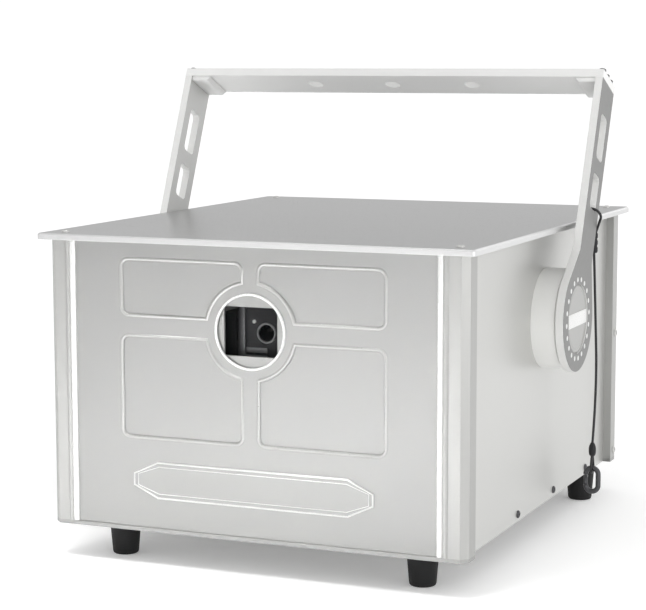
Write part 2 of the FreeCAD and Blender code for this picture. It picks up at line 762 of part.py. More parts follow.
def solid_feature(name, shape):
    """A piece whose shape is worked out above rather than drawn from primitives."""
    obj = doc.addObject("Part::Feature", name)
    obj.Shape = shape
    return obj


arm_middle = value(f"{ARM_INSIDE}+arm_thick/2")
eye_sag = size("eye_radius") - math.sqrt(size("eye_radius") ** 2 - (size("arm_thick") / 2) ** 2)
corner_reach = (size("slot_corner") - size("wire_radius") - size("running_gap") - eye_sag) / math.sqrt(2)
slot_spot = yoke_point(arm_middle, size("slot_width") / 2 - size("slot_corner") + corner_reach,
                       value("arm_length*slot_low_share") + size("slot_corner") - corner_reach)
cable_top = V(arm_middle, value("pivot_shift+cable_setback"), value(f"{PIVOT_Z}+cable_top_rise"))
cable_drop = cable_top.z - size("cable_end_rise")
cable_route = [cable_top + V(out, back, -share * cable_drop)
               for out, back, share in zip(CABLE_OUT, CABLE_BACK, CABLE_DROP_SHARES)]
cable_end = cable_route[-1]
upper_tip = cable_top + Z_AXIS * size("ferrule_length")
lower_tip = cable_end - Z_AXIS * size("low_ferrule_length")
low_eye_far = lower_tip - Z_AXIS * size("low_eye_length")
cable_path = bent_path(cable_route)
cable_solid = swept(cable_path, size("wire_radius"))
node("safety_cable", solid_feature("safety_cable", cable_solid))
node("cable_eyes", solid_feature("cable_eyes", Part.makeCompound([
    eye(upper_tip, slot_spot, size("eye_radius"), X_AXIS),
    eye(lower_tip, low_eye_far, size("low_eye_radius"), Y_AXIS)])))
node("cable_ferrules", solid_feature("cable_ferrules", Part.makeCompound([
    Part.makeCylinder(size("ferrule_radius"), size("ferrule_length"), cable_top),
    Part.makeCylinder(size("ferrule_radius"), size("low_ferrule_length"), lower_tip)])))

hook_crown = low_eye_far + Z_AXIS * (size("wire_radius") + size("hook_rod_radius") + size("running_gap"))
bend = size("hook_bend")
straight = size("hook_straight")
shoulder = hook_crown - Z_AXIS * bend
heel = shoulder - Z_AXIS * straight
hook_path = Part.Wire([
    Part.Arc(shoulder - X_AXIS * bend, hook_crown, shoulder + X_AXIS * bend).toShape(),
    Part.makeLine(shoulder + X_AXIS * bend, heel + X_AXIS * bend),
    Part.Arc(heel + X_AXIS * bend, heel - Z_AXIS * bend, heel - X_AXIS * bend).toShape(),
])
node("snap_hook", solid_feature("snap_hook", swept(hook_path, size("hook_rod_radius"))))
gate_pivot = shoulder - X_AXIS * bend - Z_AXIS * (size("running_gap") + size("gate_radius"))
gate_length = straight - 2 * size("running_gap") - size("gate_radius")
gate_rod = Part.makeCylinder(size("gate_radius"), gate_length, gate_pivot - Z_AXIS * gate_length)
gate_barrel = Part.makeCylinder(size("gate_radius"), 2 * size("gate_radius"),
                                gate_pivot - Y_AXIS * size("gate_radius"), Y_AXIS)
gate = gate_rod.fuse(gate_barrel)
node("snap_hook_gate", solid_feature("snap_hook_gate", gate))

# Optics plate on its standoffs
OPTICS_FRONT = f"({FRONT_INSIDE}+optics_front)"
OPTICS_HALF = "(body_width/2-optics_inset)"
OPTICS_UNDER = f"({BEAM_Z}-optics_drop)"
OPTICS_TOP = f"({OPTICS_UNDER}+optics_thick)"
node("optics_plate", block("optics_plate", (f"-{OPTICS_HALF}", OPTICS_FRONT, OPTICS_UNDER),
                           (f"2*{OPTICS_HALF}", "optics_length", "optics_thick")))
standoffs = [rod(f"standoff_{n}", "z", "standoff_radius", f"{OPTICS_UNDER}-{BASE_TOP}",
                 (f"{sign}({OPTICS_HALF}-standoff_inset)", f"{OPTICS_FRONT}+{y}", BASE_TOP))
             for n, (sign, y) in enumerate((sign, y) for sign in ("", "-")
                                           for y in ("standoff_inset", "optics_length-standoff_inset"))]
node("optics_standoffs", group("optics_standoffs", standoffs))

# Scanner: a block with two motors whose mirrors turn on crossed axes
GALVO_FRONT = f"({FRONT_INSIDE}+galvo_setback)"
GALVO_BACK = f"({GALVO_FRONT}+galvo_depth-galvo_back)"
WALL_INSIDE = "(galvo_width/2-galvo_wall)"
galvo_floor = block("galvo_floor_block", ("-galvo_width/2", GALVO_FRONT, OPTICS_TOP),
                    ("galvo_width", "galvo_depth", "galvo_floor"))
galvo_sides = [block(f"galvo_side_{word}", (x, GALVO_FRONT, OPTICS_TOP),
                     ("galvo_wall", "galvo_depth", "galvo_height"))
               for word, x in (("right", WALL_INSIDE), ("left", "-galvo_width/2"))]
galvo_rear = block("galvo_rear", ("-galvo_width/2", GALVO_BACK, OPTICS_TOP),
                   ("galvo_width", "galvo_back", "galvo_height"))
MOTOR_HOLE = "motor_radius+fit_gap"
SHAFT_HOLE = "mirror_shaft_radius+fit_gap"
ACROSS_SPOT = (f"{GALVO_FRONT}+galvo_depth/2-galvo_back", BEAM_Z)
ALONG_X = "-mirror_width"
motor_holes = [
    rod("motor_hole_y", "x", MOTOR_HOLE, "galvo_wall+2*overrun", (f"{WALL_INSIDE}-overrun", *ACROSS_SPOT)),
    rod("motor_hole_x", "y", MOTOR_HOLE, "galvo_back+2*overrun",
        (ALONG_X, f"{GALVO_BACK}-overrun", BEAM_Z)),
]
node("galvo_block", cut("galvo_block", fuse("galvo_blank", [galvo_floor, *galvo_sides, galvo_rear]),
                        motor_holes))
motor_y_case = rod("motor_y_case", "x", "motor_radius", "motor_length", (WALL_INSIDE, *ACROSS_SPOT))
motor_y = cut("motor_y", motor_y_case, [rod("shaft_hole_y", "x", SHAFT_HOLE, "mirror_shaft_length+overrun",
                                            (f"{WALL_INSIDE}-overrun", *ACROSS_SPOT))])
motor_x_case = rod("motor_x_case", "y", "motor_radius", "motor_length", (ALONG_X, GALVO_BACK, BEAM_Z))
motor_x = cut("motor_x", motor_x_case, [rod("shaft_hole_x", "y", SHAFT_HOLE, "mirror_shaft_length+overrun",
                                            (ALONG_X, f"{GALVO_BACK}-overrun", BEAM_Z))])
node("galvo_motor_y", motor_y)
node("galvo_motor_x", motor_x)
SHAFT_LENGTH = "2*mirror_shaft_length-running_gap"
mirror_y = fuse("mirror_y", [
    rod("mirror_y_shaft", "x", "mirror_shaft_radius", SHAFT_LENGTH,
        (f"{WALL_INSIDE}-mirror_shaft_length", *ACROSS_SPOT)),
    block("mirror_y_plate", (f"{WALL_INSIDE}-mirror_shaft_length-mirror_height",
                             f"{ACROSS_SPOT[0]}-mirror_thick/2", f"{BEAM_Z}-mirror_width/2"),
          ("mirror_height+mirror_root", "mirror_thick", "mirror_width"))])
mirror_x = fuse("mirror_x", [
    rod("mirror_x_shaft", "y", "mirror_shaft_radius", SHAFT_LENGTH,
        (ALONG_X, f"{GALVO_BACK}-mirror_shaft_length", BEAM_Z)),
    block("mirror_x_plate", (f"{ALONG_X}-mirror_thick/2",
                             f"{GALVO_BACK}-mirror_shaft_length-mirror_height",
                             f"{BEAM_Z}-mirror_width/2"),
          ("mirror_thick", "mirror_height+mirror_root", "mirror_width"))])
node("galvo_mirror_y", mirror_y)
node("galvo_mirror_x", mirror_x)

# Three laser modules and the mirrors that join their beams
LASER_FRONT = f"({FRONT_INSIDE}+laser_setback)"
LASER_PITCH = f"({OPTICS_HALF}*laser_pitch_share)"
combiners = []
for step, colour in ((-1, "red"), (0, "green"), (1, "blue")):
    case = block(f"laser_{colour}_case", (f"{step}*{LASER_PITCH}-laser_width/2", LASER_FRONT, OPTICS_TOP),
                 ("laser_width", "laser_length", "laser_height"))
    port = rod(f"laser_{colour}_port", "y", "laser_port_radius", "laser_port_radius+overrun",
               (f"{step}*{LASER_PITCH}", f"{LASER_FRONT}-overrun", f"{OPTICS_TOP}+laser_height/2"))
    node(f"laser_module_{colour}", cut(f"laser_{colour}", case, [port]))
    mount_y = f"({FRONT_INSIDE}+combiner_setback)"
    combiners.append(fuse(f"combiner_{colour}", [
        block(f"combiner_{colour}_foot", (f"{step}*{LASER_PITCH}-combiner_foot/2",
                                          f"{mount_y}-combiner_foot/2", OPTICS_TOP),
              ("combiner_foot", "combiner_foot", "combiner_foot_height")),
        block(f"combiner_{colour}_plate", (f"{step}*{LASER_PITCH}-combiner_width/2",
                                           f"{mount_y}-combiner_thick/2", OPTICS_TOP),
              ("combiner_width", "combiner_thick", "combiner_height"))]))
node("beam_combiners", group("beam_combiners", combiners))

# Scanner driver on a finned heat sink
DRIVER_X = f"({OPTICS_HALF}-driver_inset-driver_width)"
DRIVER_Y = f"({FRONT_INSIDE}+driver_setback)"
driver = [block("driver_base", (DRIVER_X, DRIVER_Y, OPTICS_TOP),
                ("driver_width", "driver_length", "sink_height-fin_height"))]
driver += [block(f"driver_fin_{n}", (f"{DRIVER_X}+{n}*fin_pitch", DRIVER_Y,
                                     f"{OPTICS_TOP}+sink_height-fin_height"),
                 ("fin_thick", "driver_length", "fin_height")) for n in range(FINS)]
node("galvo_driver", fuse("galvo_driver", driver))

# Power supply and control board on the base
node("power_supply", block("power_supply", (f"supply_inset-{HALF_WIDTH}", f"{FRONT_INSIDE}+supply_setback",
                                            BASE_TOP),
                           (f"{HALF_WIDTH}-supply_inset-supply_x", "supply_length", "supply_height")))
BOARD_WIDTH = f"({HALF_WIDTH}-board_inset-board_x)"
BOARD_Y = f"({FRONT_INSIDE}+board_setback)"
BOARD_Z = f"({BASE_TOP}+board_rise)"
board = [block("board_sheet", ("board_x", BOARD_Y, BOARD_Z), (BOARD_WIDTH, "board_length", "board_thick")),
         block("board_chip", (f"board_x+{BOARD_WIDTH}/2-chip_side/2", f"{BOARD_Y}+board_length/2-chip_side/2",
                              f"{BOARD_Z}+board_thick"), ("chip_side", "chip_side", "chip_height"))]
board += [rod(f"board_leg_{n}", "z", "board_leg_radius", "board_rise",
              (f"board_x+{x}", f"{BOARD_Y}+{y}", BASE_TOP))
          for n, (x, y) in enumerate((x, y) for x in ("board_leg_inset", f"{BOARD_WIDTH}-board_leg_inset")
                                     for y in ("board_leg_inset", "board_length-board_leg_inset"))]
node("control_board", fuse("control_board", board))

# Fans behind the rear panel: frame with its motor mount, bladed rotor, and wire guard outside
FAN_X = f"({POST_X}*fan_share)"
FAN_Z = f"({LID_UNDER}-fan_drop)"
FAN_FRONT = f"({REAR_INSIDE}-fan_depth)"
fan_block = block("fan_block", (f"{FAN_X}-fan_side/2", FAN_FRONT, f"{FAN_Z}-fan_side/2"),
                  ("fan_side", "fan_depth", "fan_side"))
fan_bore = rod("fan_bore", "y", "fan_bore_radius", "fan_depth+rear_thick+2*overrun",
               (FAN_X, f"{FAN_FRONT}-overrun", FAN_Z))
fan_mount = rod("fan_mount", "y", "fan_hub_radius", "fan_mount_depth", (FAN_X, FAN_FRONT, FAN_Z))
fan_struts = [
    block("fan_strut_flat", (f"{FAN_X}-fan_side/2", FAN_FRONT, f"{FAN_Z}-fan_strut_width/2"),
          ("fan_side", "fan_mount_depth", "fan_strut_width")),
    block("fan_strut_tall", (f"{FAN_X}-fan_strut_width/2", FAN_FRONT, f"{FAN_Z}-fan_side/2"),
          ("fan_strut_width", "fan_mount_depth", "fan_side")),
]
fan_shaft_hole = rod("fan_shaft_hole", "y", "fan_shaft_radius+fit_gap", "fan_mount_depth+2*overrun",
                     (FAN_X, f"{FAN_FRONT}-overrun", FAN_Z))
fan_shell = cut("fan_shell", fan_block, [fan_bore])
fan_frame = cut("fan_frame", fuse("fan_frame_blank", [fan_shell, fan_mount, *fan_struts]), [fan_shaft_hole])
node("fan_frames", group("fan_frames", [fan_frame, mirror("fan_frame_left", fan_frame)]))


def fan_rotor_shape():
    """A hub with pitched blades, and a short shaft that runs in the motor mount."""
    hub_start = size("fan_mount_depth") + size("running_gap")
    hub = Part.makeCylinder(size("fan_hub_radius"), size("fan_hub_depth"), V(0, hub_start, 0), Y_AXIS)
    shaft_start = hub_start - size("fan_shaft_length")
    shaft = Part.makeCylinder(size("fan_shaft_radius"), size("fan_shaft_length"), V(0, shaft_start, 0),
                              Y_AXIS)
    inner = size("fan_hub_radius") - size("overrun")
    outer = size("fan_bore_radius") - size("fan_blade_gap")
    thick = size("fan_blade_thick")
    depth = size("fan_blade_depth")
    blades = []
    for n in range(FAN_BLADES):
        blade = Part.makeBox(outer - inner, depth, thick, V(inner, -depth / 2, -thick / 2))
        blade.rotate(V(), X_AXIS, size("fan_blade_pitch"))
        blade.translate(V(0, hub_start + size("fan_hub_depth") / 2, 0))
        blade.rotate(V(), Y_AXIS, n * FULL_TURN / FAN_BLADES)
        blades.append(blade)
    return hub.multiFuse([shaft, *blades])


fan_rotor = solid_feature("fan_rotor", fan_rotor_shape())
place(fan_rotor, FAN_X, FAN_FRONT, FAN_Z)
node("fan_rotor_right", fan_rotor)
node("fan_rotor_left", mirror("fan_rotor_mirror", fan_rotor))

GUARD_Y = f"({REAR_FACE}+guard_bar_radius)"
GUARD_REACH = f"(guard_inner_radius+{GUARD_RINGS}*guard_step)"
guard_parts = []
for n in range(GUARD_RINGS):
    ring = doc.addObject("Part::Torus", f"guard_ring_{n}")
    ring.setExpression("Radius1", sized(f"guard_inner_radius+{n}*guard_step"))
    ring.setExpression("Radius2", sized("guard_wire_radius"))
    ring.Placement = FreeCAD.Placement(V(), LAY_ALONG["y"])
    place(ring, FAN_X, f"{GUARD_Y}+guard_lift", FAN_Z)
    guard_parts.append(ring)
guard_parts.append(rod("guard_bar_flat", "x", "guard_bar_radius", f"2*{GUARD_REACH}",
                       (f"{FAN_X}-{GUARD_REACH}", GUARD_Y, FAN_Z)))
guard_parts.append(rod("guard_bar_tall", "z", "guard_bar_radius", f"2*{GUARD_REACH}",
                       (FAN_X, GUARD_Y, f"{FAN_Z}-{GUARD_REACH}")))
guard = fuse("guard", guard_parts)
node("fan_guards", group("fan_guards", [guard, mirror("guard_left", guard)]))

# Rear panel controls and sockets
ROW_Z = "(foot_height+inlet_rise)"
INLET_X = f"({POST_X}*inlet_share)"
ROCKER_X = f"({POST_X}*rocker_share)"
KEY_X = f"({POST_X}*key_share)"
ILDA_X = f"({POST_X}*ilda_share)"
LIP_TOP = f"({REAR_FACE}+flange_lip)"


def centred(name, x, z, width, height, start, depth):
    """A box centred on a point of the rear panel that runs back from a start plane."""
    return block(name, (f"{x}-({width})/2", start, f"{z}-({height})/2"), (width, depth, height))


def panel_hole(name, x, z, width, height):
    """A rectangular hole through the rear panel."""
    return centred(name, x, z, width, height, f"{REAR_INSIDE}-overrun", "rear_thick+2*overrun")


def panel_round(name, x, z, radius):
    """A round hole through the rear panel."""
    return rod(name, "y", radius, "rear_thick+2*overrun", (x, f"{REAR_INSIDE}-overrun", z))


rear_holes = [fan_bore, mirror("fan_bore_left", fan_bore)]

inlet_case = fuse("inlet_case", [
    centred("inlet_lip", INLET_X, ROW_Z, "inlet_width+2*flange_lip", "inlet_height+2*flange_lip",
            REAR_FACE, "flange_lip"),
    centred("inlet_body", INLET_X, ROW_Z, "inlet_width", "inlet_height", f"{REAR_FACE}-inlet_depth",
            "inlet_depth")])
inlet_socket = centred("inlet_socket", INLET_X, ROW_Z, "inlet_width-2*inlet_wall",
                       "inlet_height-2*inlet_wall", f"{LIP_TOP}-inlet_socket_depth",
                       "inlet_socket_depth+overrun")
inlet_pin_spots = ((-1, "-pin_drop/2"), (0, "+pin_drop/2"), (1, "-pin_drop/2"))
inlet_pins = [centred(f"inlet_pin_{n}", f"{INLET_X}+{step}*pin_pitch", f"{ROW_Z}{drop}", "pin_width",
                      "pin_height", f"{LIP_TOP}-inlet_socket_depth", "pin_length")
              for n, (step, drop) in enumerate(inlet_pin_spots)]
node("power_inlet", fuse("power_inlet", [cut("inlet_shell", inlet_case, [inlet_socket]), *inlet_pins]))
rear_holes.append(panel_hole("inlet_hole", INLET_X, ROW_Z, "inlet_width", "inlet_height"))

rocker_case = fuse("rocker_case", [
    centred("rocker_lip", ROCKER_X, ROW_Z, "rocker_width+2*flange_lip", "rocker_height+2*flange_lip",
            REAR_FACE, "flange_lip"),
    centred("rocker_body", ROCKER_X, ROW_Z, "rocker_width", "rocker_height", f"{REAR_FACE}-rocker_depth",
            "rocker_depth")])
rocker_well = centred("rocker_well_block", ROCKER_X, ROW_Z, "rocker_width-2*rocker_wall",
                      "rocker_height-2*rocker_wall", f"{REAR_FACE}-rocker_well",
                      "rocker_well+flange_lip+overrun")
node("power_switch", cut("power_switch", rocker_case, [rocker_well]))
ROCKER_Y = f"({REAR_FACE}-rocker_well+rocker_radius+running_gap)"
ROCKER_LEFT = f"({ROCKER_X}-rocker_width/2+rocker_wall+running_gap)"
rocker_drum = rod("rocker_drum", "x", "rocker_radius", "rocker_width-2*rocker_wall-2*running_gap",
                  (ROCKER_LEFT, ROCKER_Y, ROW_Z))
rocker_flat = block("rocker_flat_cut", (f"{ROCKER_LEFT}-overrun", f"{ROCKER_Y}+rocker_flat", ROW_Z),
                    ("rocker_width+2*overrun", "rocker_radius", "rocker_radius+overrun"))
node("power_rocker", cut("power_rocker", rocker_drum, [rocker_flat]))
rear_holes.append(panel_hole("rocker_hole", ROCKER_X, ROW_Z, "rocker_width", "rocker_height"))

KEY_FACE = f"({REAR_FACE}+key_flange_rise)"
key_case = fuse("key_case", [
    rod("key_flange", "y", "key_flange_radius", "key_flange_rise", (KEY_X, REAR_FACE, ROW_Z)),
    rod("key_body", "y", "key_body_radius", "key_depth", (KEY_X, f"{REAR_FACE}-key_depth", ROW_Z))])
key_bore = rod("key_bore", "y", "key_barrel_radius+fit_gap", "key_barrel_length+overrun",
               (KEY_X, f"{KEY_FACE}-key_barrel_length", ROW_Z))
node("key_switch", cut("key_switch", key_case, [key_bore]))
key_rod = rod("key_rod", "y", "key_barrel_radius", "key_barrel_length-running_gap",
              (KEY_X, f"{KEY_FACE}-key_barrel_length+running_gap", ROW_Z))
key_slot = centred("key_slot", KEY_X, ROW_Z, "key_slot_width", "key_slot_height",
                   f"{KEY_FACE}-key_slot_depth", "key_slot_depth+overrun")
node("key_barrel", cut("key_barrel", key_rod, [key_slot]))
rear_holes.append(panel_round("key_hole", KEY_X, ROW_Z, "key_body_radius+fit_gap"))

dmx_sockets = []
for word in ("in", "out"):
    dmx_x = f"({POST_X}*dmx_{word}_share)"
    dmx_case = fuse(f"dmx_{word}_case", [
        centred(f"dmx_{word}_lip", dmx_x, ROW_Z, "dmx_flange_width", "dmx_flange_height", REAR_FACE,
                "flange_lip"),
        rod(f"dmx_{word}_body", "y", "dmx_radius", "dmx_depth", (dmx_x, f"{REAR_FACE}-dmx_depth", ROW_Z))])
    dmx_socket = rod(f"dmx_{word}_socket", "y", "dmx_socket_radius", "dmx_socket_depth+overrun",
                     (dmx_x, f"{LIP_TOP}-dmx_socket_depth", ROW_Z))
    dmx_pins = [rod(f"dmx_{word}_pin_{n}", "y", "dmx_pin_radius", "dmx_pin_length",
                    (f"{dmx_x}+{x}*dmx_pin_circle", f"{LIP_TOP}-dmx_socket_depth",
                     f"{ROW_Z}+{z}*dmx_pin_circle"))
                for n, (x, z) in enumerate(((1, 0), (-1, 0), (0, -1)))]
    dmx_sockets.append(fuse(f"dmx_{word}", [cut(f"dmx_{word}_shell", dmx_case, [dmx_socket]), *dmx_pins]))
    rear_holes.append(panel_round(f"dmx_{word}_hole", dmx_x, ROW_Z, "dmx_radius+fit_gap"))

node("dmx_sockets", group("dmx_sockets", dmx_sockets))

ilda_skirt = centred("ilda_skirt", ILDA_X, ROW_Z, "ilda_shell_width", "ilda_shell_height", LIP_TOP,
                     "ilda_shell_rise")
ilda_mouth = centred("ilda_mouth", ILDA_X, ROW_Z, "ilda_shell_width-2*ilda_shell_wall",
                     "ilda_shell_height-2*ilda_shell_wall", LIP_TOP, "ilda_shell_rise+overrun")
ilda_shell = cut("ilda_shell", ilda_skirt, [ilda_mouth])
node("ilda_socket", fuse("ilda_socket", [
    ilda_shell,
    centred("ilda_lip", ILDA_X, ROW_Z, "ilda_width", "ilda_height", REAR_FACE, "flange_lip"),
    centred("ilda_body", ILDA_X, ROW_Z, "ilda_shell_width", "ilda_shell_height",
            f"{REAR_FACE}-ilda_depth", "ilda_depth")]))
rear_holes.append(panel_hole("ilda_hole", ILDA_X, ROW_Z, "ilda_shell_width", "ilda_shell_height"))

DISPLAY_Z = f"({LID_UNDER}-display_drop)"
BUTTON_Z = f"({LID_UNDER}-button_drop)"
PANEL_BOARD_FACE = f"({REAR_INSIDE}-panel_board_gap)"
BUTTON_SEAT = f"({REAR_INSIDE}-running_gap-button_flange)"
node("display_window", centred("display_window", "0", DISPLAY_Z, "display_width", "display_height",
                               REAR_INSIDE, "rear_thick"))
rear_holes.append(panel_hole("display_hole", "0", DISPLAY_Z, "display_width", "display_height"))
panel_board = [
    centred("panel_board_sheet", "0", f"({DISPLAY_Z}+{BUTTON_Z})/2", "panel_board_width",
            "panel_board_height", f"{PANEL_BOARD_FACE}-panel_board_thick", "panel_board_thick"),
    centred("display_module", "0", DISPLAY_Z, "display_width+2*display_margin",
            "display_height+2*display_margin", PANEL_BOARD_FACE, "panel_board_gap")]
for n in range(BUTTONS):
    button_x = f"({2 * n - BUTTONS + 1}*button_pitch/2)"
    panel_board.append(centred(f"tact_{n}", button_x, BUTTON_Z, "tact_side", "tact_side", PANEL_BOARD_FACE,
                               "panel_board_gap-2*running_gap-button_flange-button_travel"))
    stem = rod(f"button_stem_{n}", "y", "button_radius", f"{REAR_FACE}+button_rise_out-{BUTTON_SEAT}",
               (button_x, BUTTON_SEAT, BUTTON_Z))
    collar = rod(f"button_collar_{n}", "y", "button_radius+button_flange", "button_flange",
                 (button_x, BUTTON_SEAT, BUTTON_Z))
    node(f"menu_button_{n + 1}", fuse(f"menu_button_{n + 1}", [stem, collar]))
    rear_holes.append(panel_round(f"button_hole_{n}", button_x, BUTTON_Z, "button_radius+running_gap"))
node("display_board", fuse("display_board", panel_board))

rear_sheet = block("rear_sheet", (f"-{POST_X}", REAR_INSIDE, BASE_TOP),
                   (f"2*{POST_X}", "rear_thick", WALL_HEIGHT))
node("rear_panel", cut("rear_panel", rear_sheet, rear_holes))

# Check every piece, then write one file for each
doc.recompute()
for obj in doc.Objects:
    faults = [word for word in obj.State if word in ("Invalid", "Error")]
    if faults:
        raise RuntimeError(f"{obj.Name}: {faults}")
for obj in nodes:
    if obj.Shape.isNull() or not obj.Shape.isValid() or not obj.Shape.Solids:
        raise RuntimeError(f"{obj.Label}: no sound solid")
for obj in nodes:
    obj.Shape.exportStep(f"parts/{obj.Label}.step")
print(len(nodes), "pieces written")
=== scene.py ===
import json
import math

import bmesh
import bpy
from mathutils import Matrix, Vector


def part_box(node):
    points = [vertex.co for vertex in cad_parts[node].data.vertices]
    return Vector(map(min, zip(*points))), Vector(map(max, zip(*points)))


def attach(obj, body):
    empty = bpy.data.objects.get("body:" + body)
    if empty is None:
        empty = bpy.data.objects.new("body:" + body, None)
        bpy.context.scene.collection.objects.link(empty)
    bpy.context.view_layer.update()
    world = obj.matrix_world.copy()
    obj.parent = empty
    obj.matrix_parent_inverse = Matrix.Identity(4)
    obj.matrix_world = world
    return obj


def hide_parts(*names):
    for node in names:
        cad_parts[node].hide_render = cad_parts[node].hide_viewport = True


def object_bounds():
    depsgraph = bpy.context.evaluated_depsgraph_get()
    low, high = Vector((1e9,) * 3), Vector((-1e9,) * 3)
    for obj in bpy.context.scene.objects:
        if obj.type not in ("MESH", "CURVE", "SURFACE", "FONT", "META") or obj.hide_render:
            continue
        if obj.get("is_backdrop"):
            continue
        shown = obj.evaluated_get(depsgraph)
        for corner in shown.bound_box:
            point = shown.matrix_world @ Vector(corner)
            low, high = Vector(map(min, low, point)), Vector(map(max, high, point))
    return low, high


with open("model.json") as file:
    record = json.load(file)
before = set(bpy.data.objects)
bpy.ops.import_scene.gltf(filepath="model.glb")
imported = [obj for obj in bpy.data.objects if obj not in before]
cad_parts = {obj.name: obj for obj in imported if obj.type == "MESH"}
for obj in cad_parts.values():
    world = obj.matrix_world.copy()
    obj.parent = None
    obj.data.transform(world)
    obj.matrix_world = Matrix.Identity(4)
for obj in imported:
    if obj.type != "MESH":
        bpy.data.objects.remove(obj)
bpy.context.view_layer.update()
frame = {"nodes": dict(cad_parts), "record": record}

nodes = frame["nodes"]
scene = bpy.context.scene
MM = 0.001
FULL_TURN = 2 * math.pi

# Camera, with its places in metres
CAMERA_SPOT = Vector((0.58845, -1.42877, 0.36990))
CAMERA_AIM = Vector((-0.02954, 0.00505, 0.17041))
CAMERA_ROLL = math.radians(-0.13)
SENSOR = 36
LENS = 110.33
camera = bpy.data.objects.new("camera", bpy.data.cameras.new("camera"))
scene.collection.objects.link(camera)
camera.data.sensor_width = SENSOR
camera.data.lens = LENS
camera.location = CAMERA_SPOT
look = (CAMERA_AIM - CAMERA_SPOT).to_track_quat("-Z", "Y").to_matrix().to_4x4()
camera.rotation_euler = (look @ Matrix.Rotation(CAMERA_ROLL, 4, "Z")).to_euler()
scene.camera = camera


# Main sizes, in millimetres, taken from the frame
def node_box(name):
    """A node's lowest and highest corners at rest, to a thousandth of a millimetre."""
    return [[round(value / MM, 3) for value in corner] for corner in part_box(name)]


def middle(name):
    """The middle of a node's box."""
    return [(one + two) / 2 for one, two in zip(*node_box(name))]


BODY_HALF_WIDTH = node_box("corner_posts")[1][0]
LID_TOP = node_box("lid")[1][2]
FRONT_FACE = node_box("front_panel")[0][1]
REAR_FACE = node_box("rear_panel")[1][1]
SIDE_FACE = node_box("side_panel_right")[1][0]
BEAM_HEIGHT = middle("aperture_ring")[2]
PIVOT_Y, PIVOT_Z = middle("pivot_boss_right")[1:]
BOSS_TOP = node_box("pivot_boss_right")[1][0]
ARM_MIDDLE = middle("yoke_arm_right")[0]
ARM_OUTSIDE = node_box("yoke_arm_right")[1][0]

# The crossbar's top above the pivots on the upright yoke, and the yoke's lean
BAR_TOP = 196
YOKE_LEAN = math.radians(23.7)


# Node graphs
def shader_node(tree, kind, inputs=None, **settings):
    """A node with its settings, and a value or a link on each named input."""
    made = tree.nodes.new("ShaderNode" + kind)
    for key, value in settings.items():
        setattr(made, key, value)
    for key, value in (inputs or {}).items():
        if isinstance(value, bpy.types.NodeSocket):
            tree.links.new(value, made.inputs[key])
        else:
            made.inputs[key].default_value = value
    return made


def scaled(colour, share):
    """A colour made lighter or darker."""
    return tuple(min(1, part * share) for part in colour[:3]) + (1,)


CLOUD_SCALE = 7
SPECK_SHARE = 1.5
EDGE_WEAR_AND_HIGHLIGHT_SHARE = 1.6
ROUGH_SHARES = (0.85, 1.15)
GRAIN_DEPTH = 0.1
STRAND_DEPTH = 0.15


def surface(name, colour, metallic, rough, grain=1.2, stretch=(1, 1, 1), bump=0.15, cloud=0.05,
            edge=0.35, edge_width=0.5, shader=None):
    """A finish with fine grain, slow cloudiness, and rounded edges painted lighter, partly as wear and partly
    as a painted highlight.
    """
    made = bpy.data.materials.new(name)
    made.use_nodes = True
    tree = made.node_tree
    bsdf = tree.nodes["Principled BSDF"]
    place = shader_node(tree, "TexCoord")
    spread = shader_node(tree, "Mapping", {"Vector": place.outputs["Object"], "Scale": stretch})
    fine = shader_node(tree, "TexNoise", {"Vector": spread.outputs["Vector"], "Scale": 1 / (grain * MM),
                                          "Detail": 4, "Roughness": 0.6})
    slow = shader_node(tree, "TexNoise", {"Vector": place.outputs["Object"], "Scale": CLOUD_SCALE,
                                          "Detail": 3})
    soft = shader_node(tree, "Bevel", {"Radius": edge_width * MM}, samples=4)
    shape = shader_node(tree, "NewGeometry")
    match = shader_node(tree, "VectorMath", {0: soft.outputs["Normal"], 1: shape.outputs["True Normal"]},
                        operation="DOT_PRODUCT")
    # Rounded edges are painted lighter: partly wear, partly a painted highlight where the edges would catch
    # the light.
    worn_and_highlit = shader_node(tree, "MapRange", {"Value": match.outputs["Value"], "From Min": 0.995,
                                          "From Max": 0.8, "To Min": 0, "To Max": edge})
    tone = shader_node(tree, "MapRange", {"Value": slow.outputs["Fac"], "From Min": 0.3, "From Max": 0.7})
    ground = shader_node(tree, "Mix", {"Factor": tone.outputs["Result"], "A": scaled(colour, 1 - cloud),
                                       "B": scaled(colour, 1 + cloud)}, data_type="RGBA")
    speck = shader_node(tree, "Mix", {"Factor": fine.outputs["Fac"],
                                      "A": scaled(colour, 1 - SPECK_SHARE * cloud),
                                      "B": ground.outputs["Result"]}, data_type="RGBA")
    # Mixes in the lighter edge colour, which is wear and painted highlight together.
    rubbed_and_highlit = shader_node(tree, "Mix", {"Factor": worn_and_highlit.outputs["Result"], "A": speck.outputs["Result"],
                                       "B": scaled(colour, EDGE_WEAR_AND_HIGHLIGHT_SHARE)}, data_type="RGBA")
    tree.links.new(rubbed_and_highlit.outputs["Result"], bsdf.inputs["Base Color"])
    smoothest, roughest = (min(1, rough * share) for share in ROUGH_SHARES)
    blur = shader_node(tree, "MapRange", {"Value": fine.outputs["Fac"], "From Min": 0.25, "From Max": 0.75,
                                          "To Min": smoothest, "To Max": roughest})
    tree.links.new(blur.outputs["Result"], bsdf.inputs["Roughness"])
    relief = shader_node(tree, "Bump", {"Height": fine.outputs["Fac"], "Strength": bump,
                                        "Distance": GRAIN_DEPTH * MM, "Normal": soft.outputs["Normal"]})
    tree.links.new(relief.outputs["Normal"], bsdf.inputs["Normal"])
    bsdf.inputs["Metallic"].default_value = metallic
    for key, value in (shader or {}).items():
        bsdf.inputs[key].default_value = value
    return made


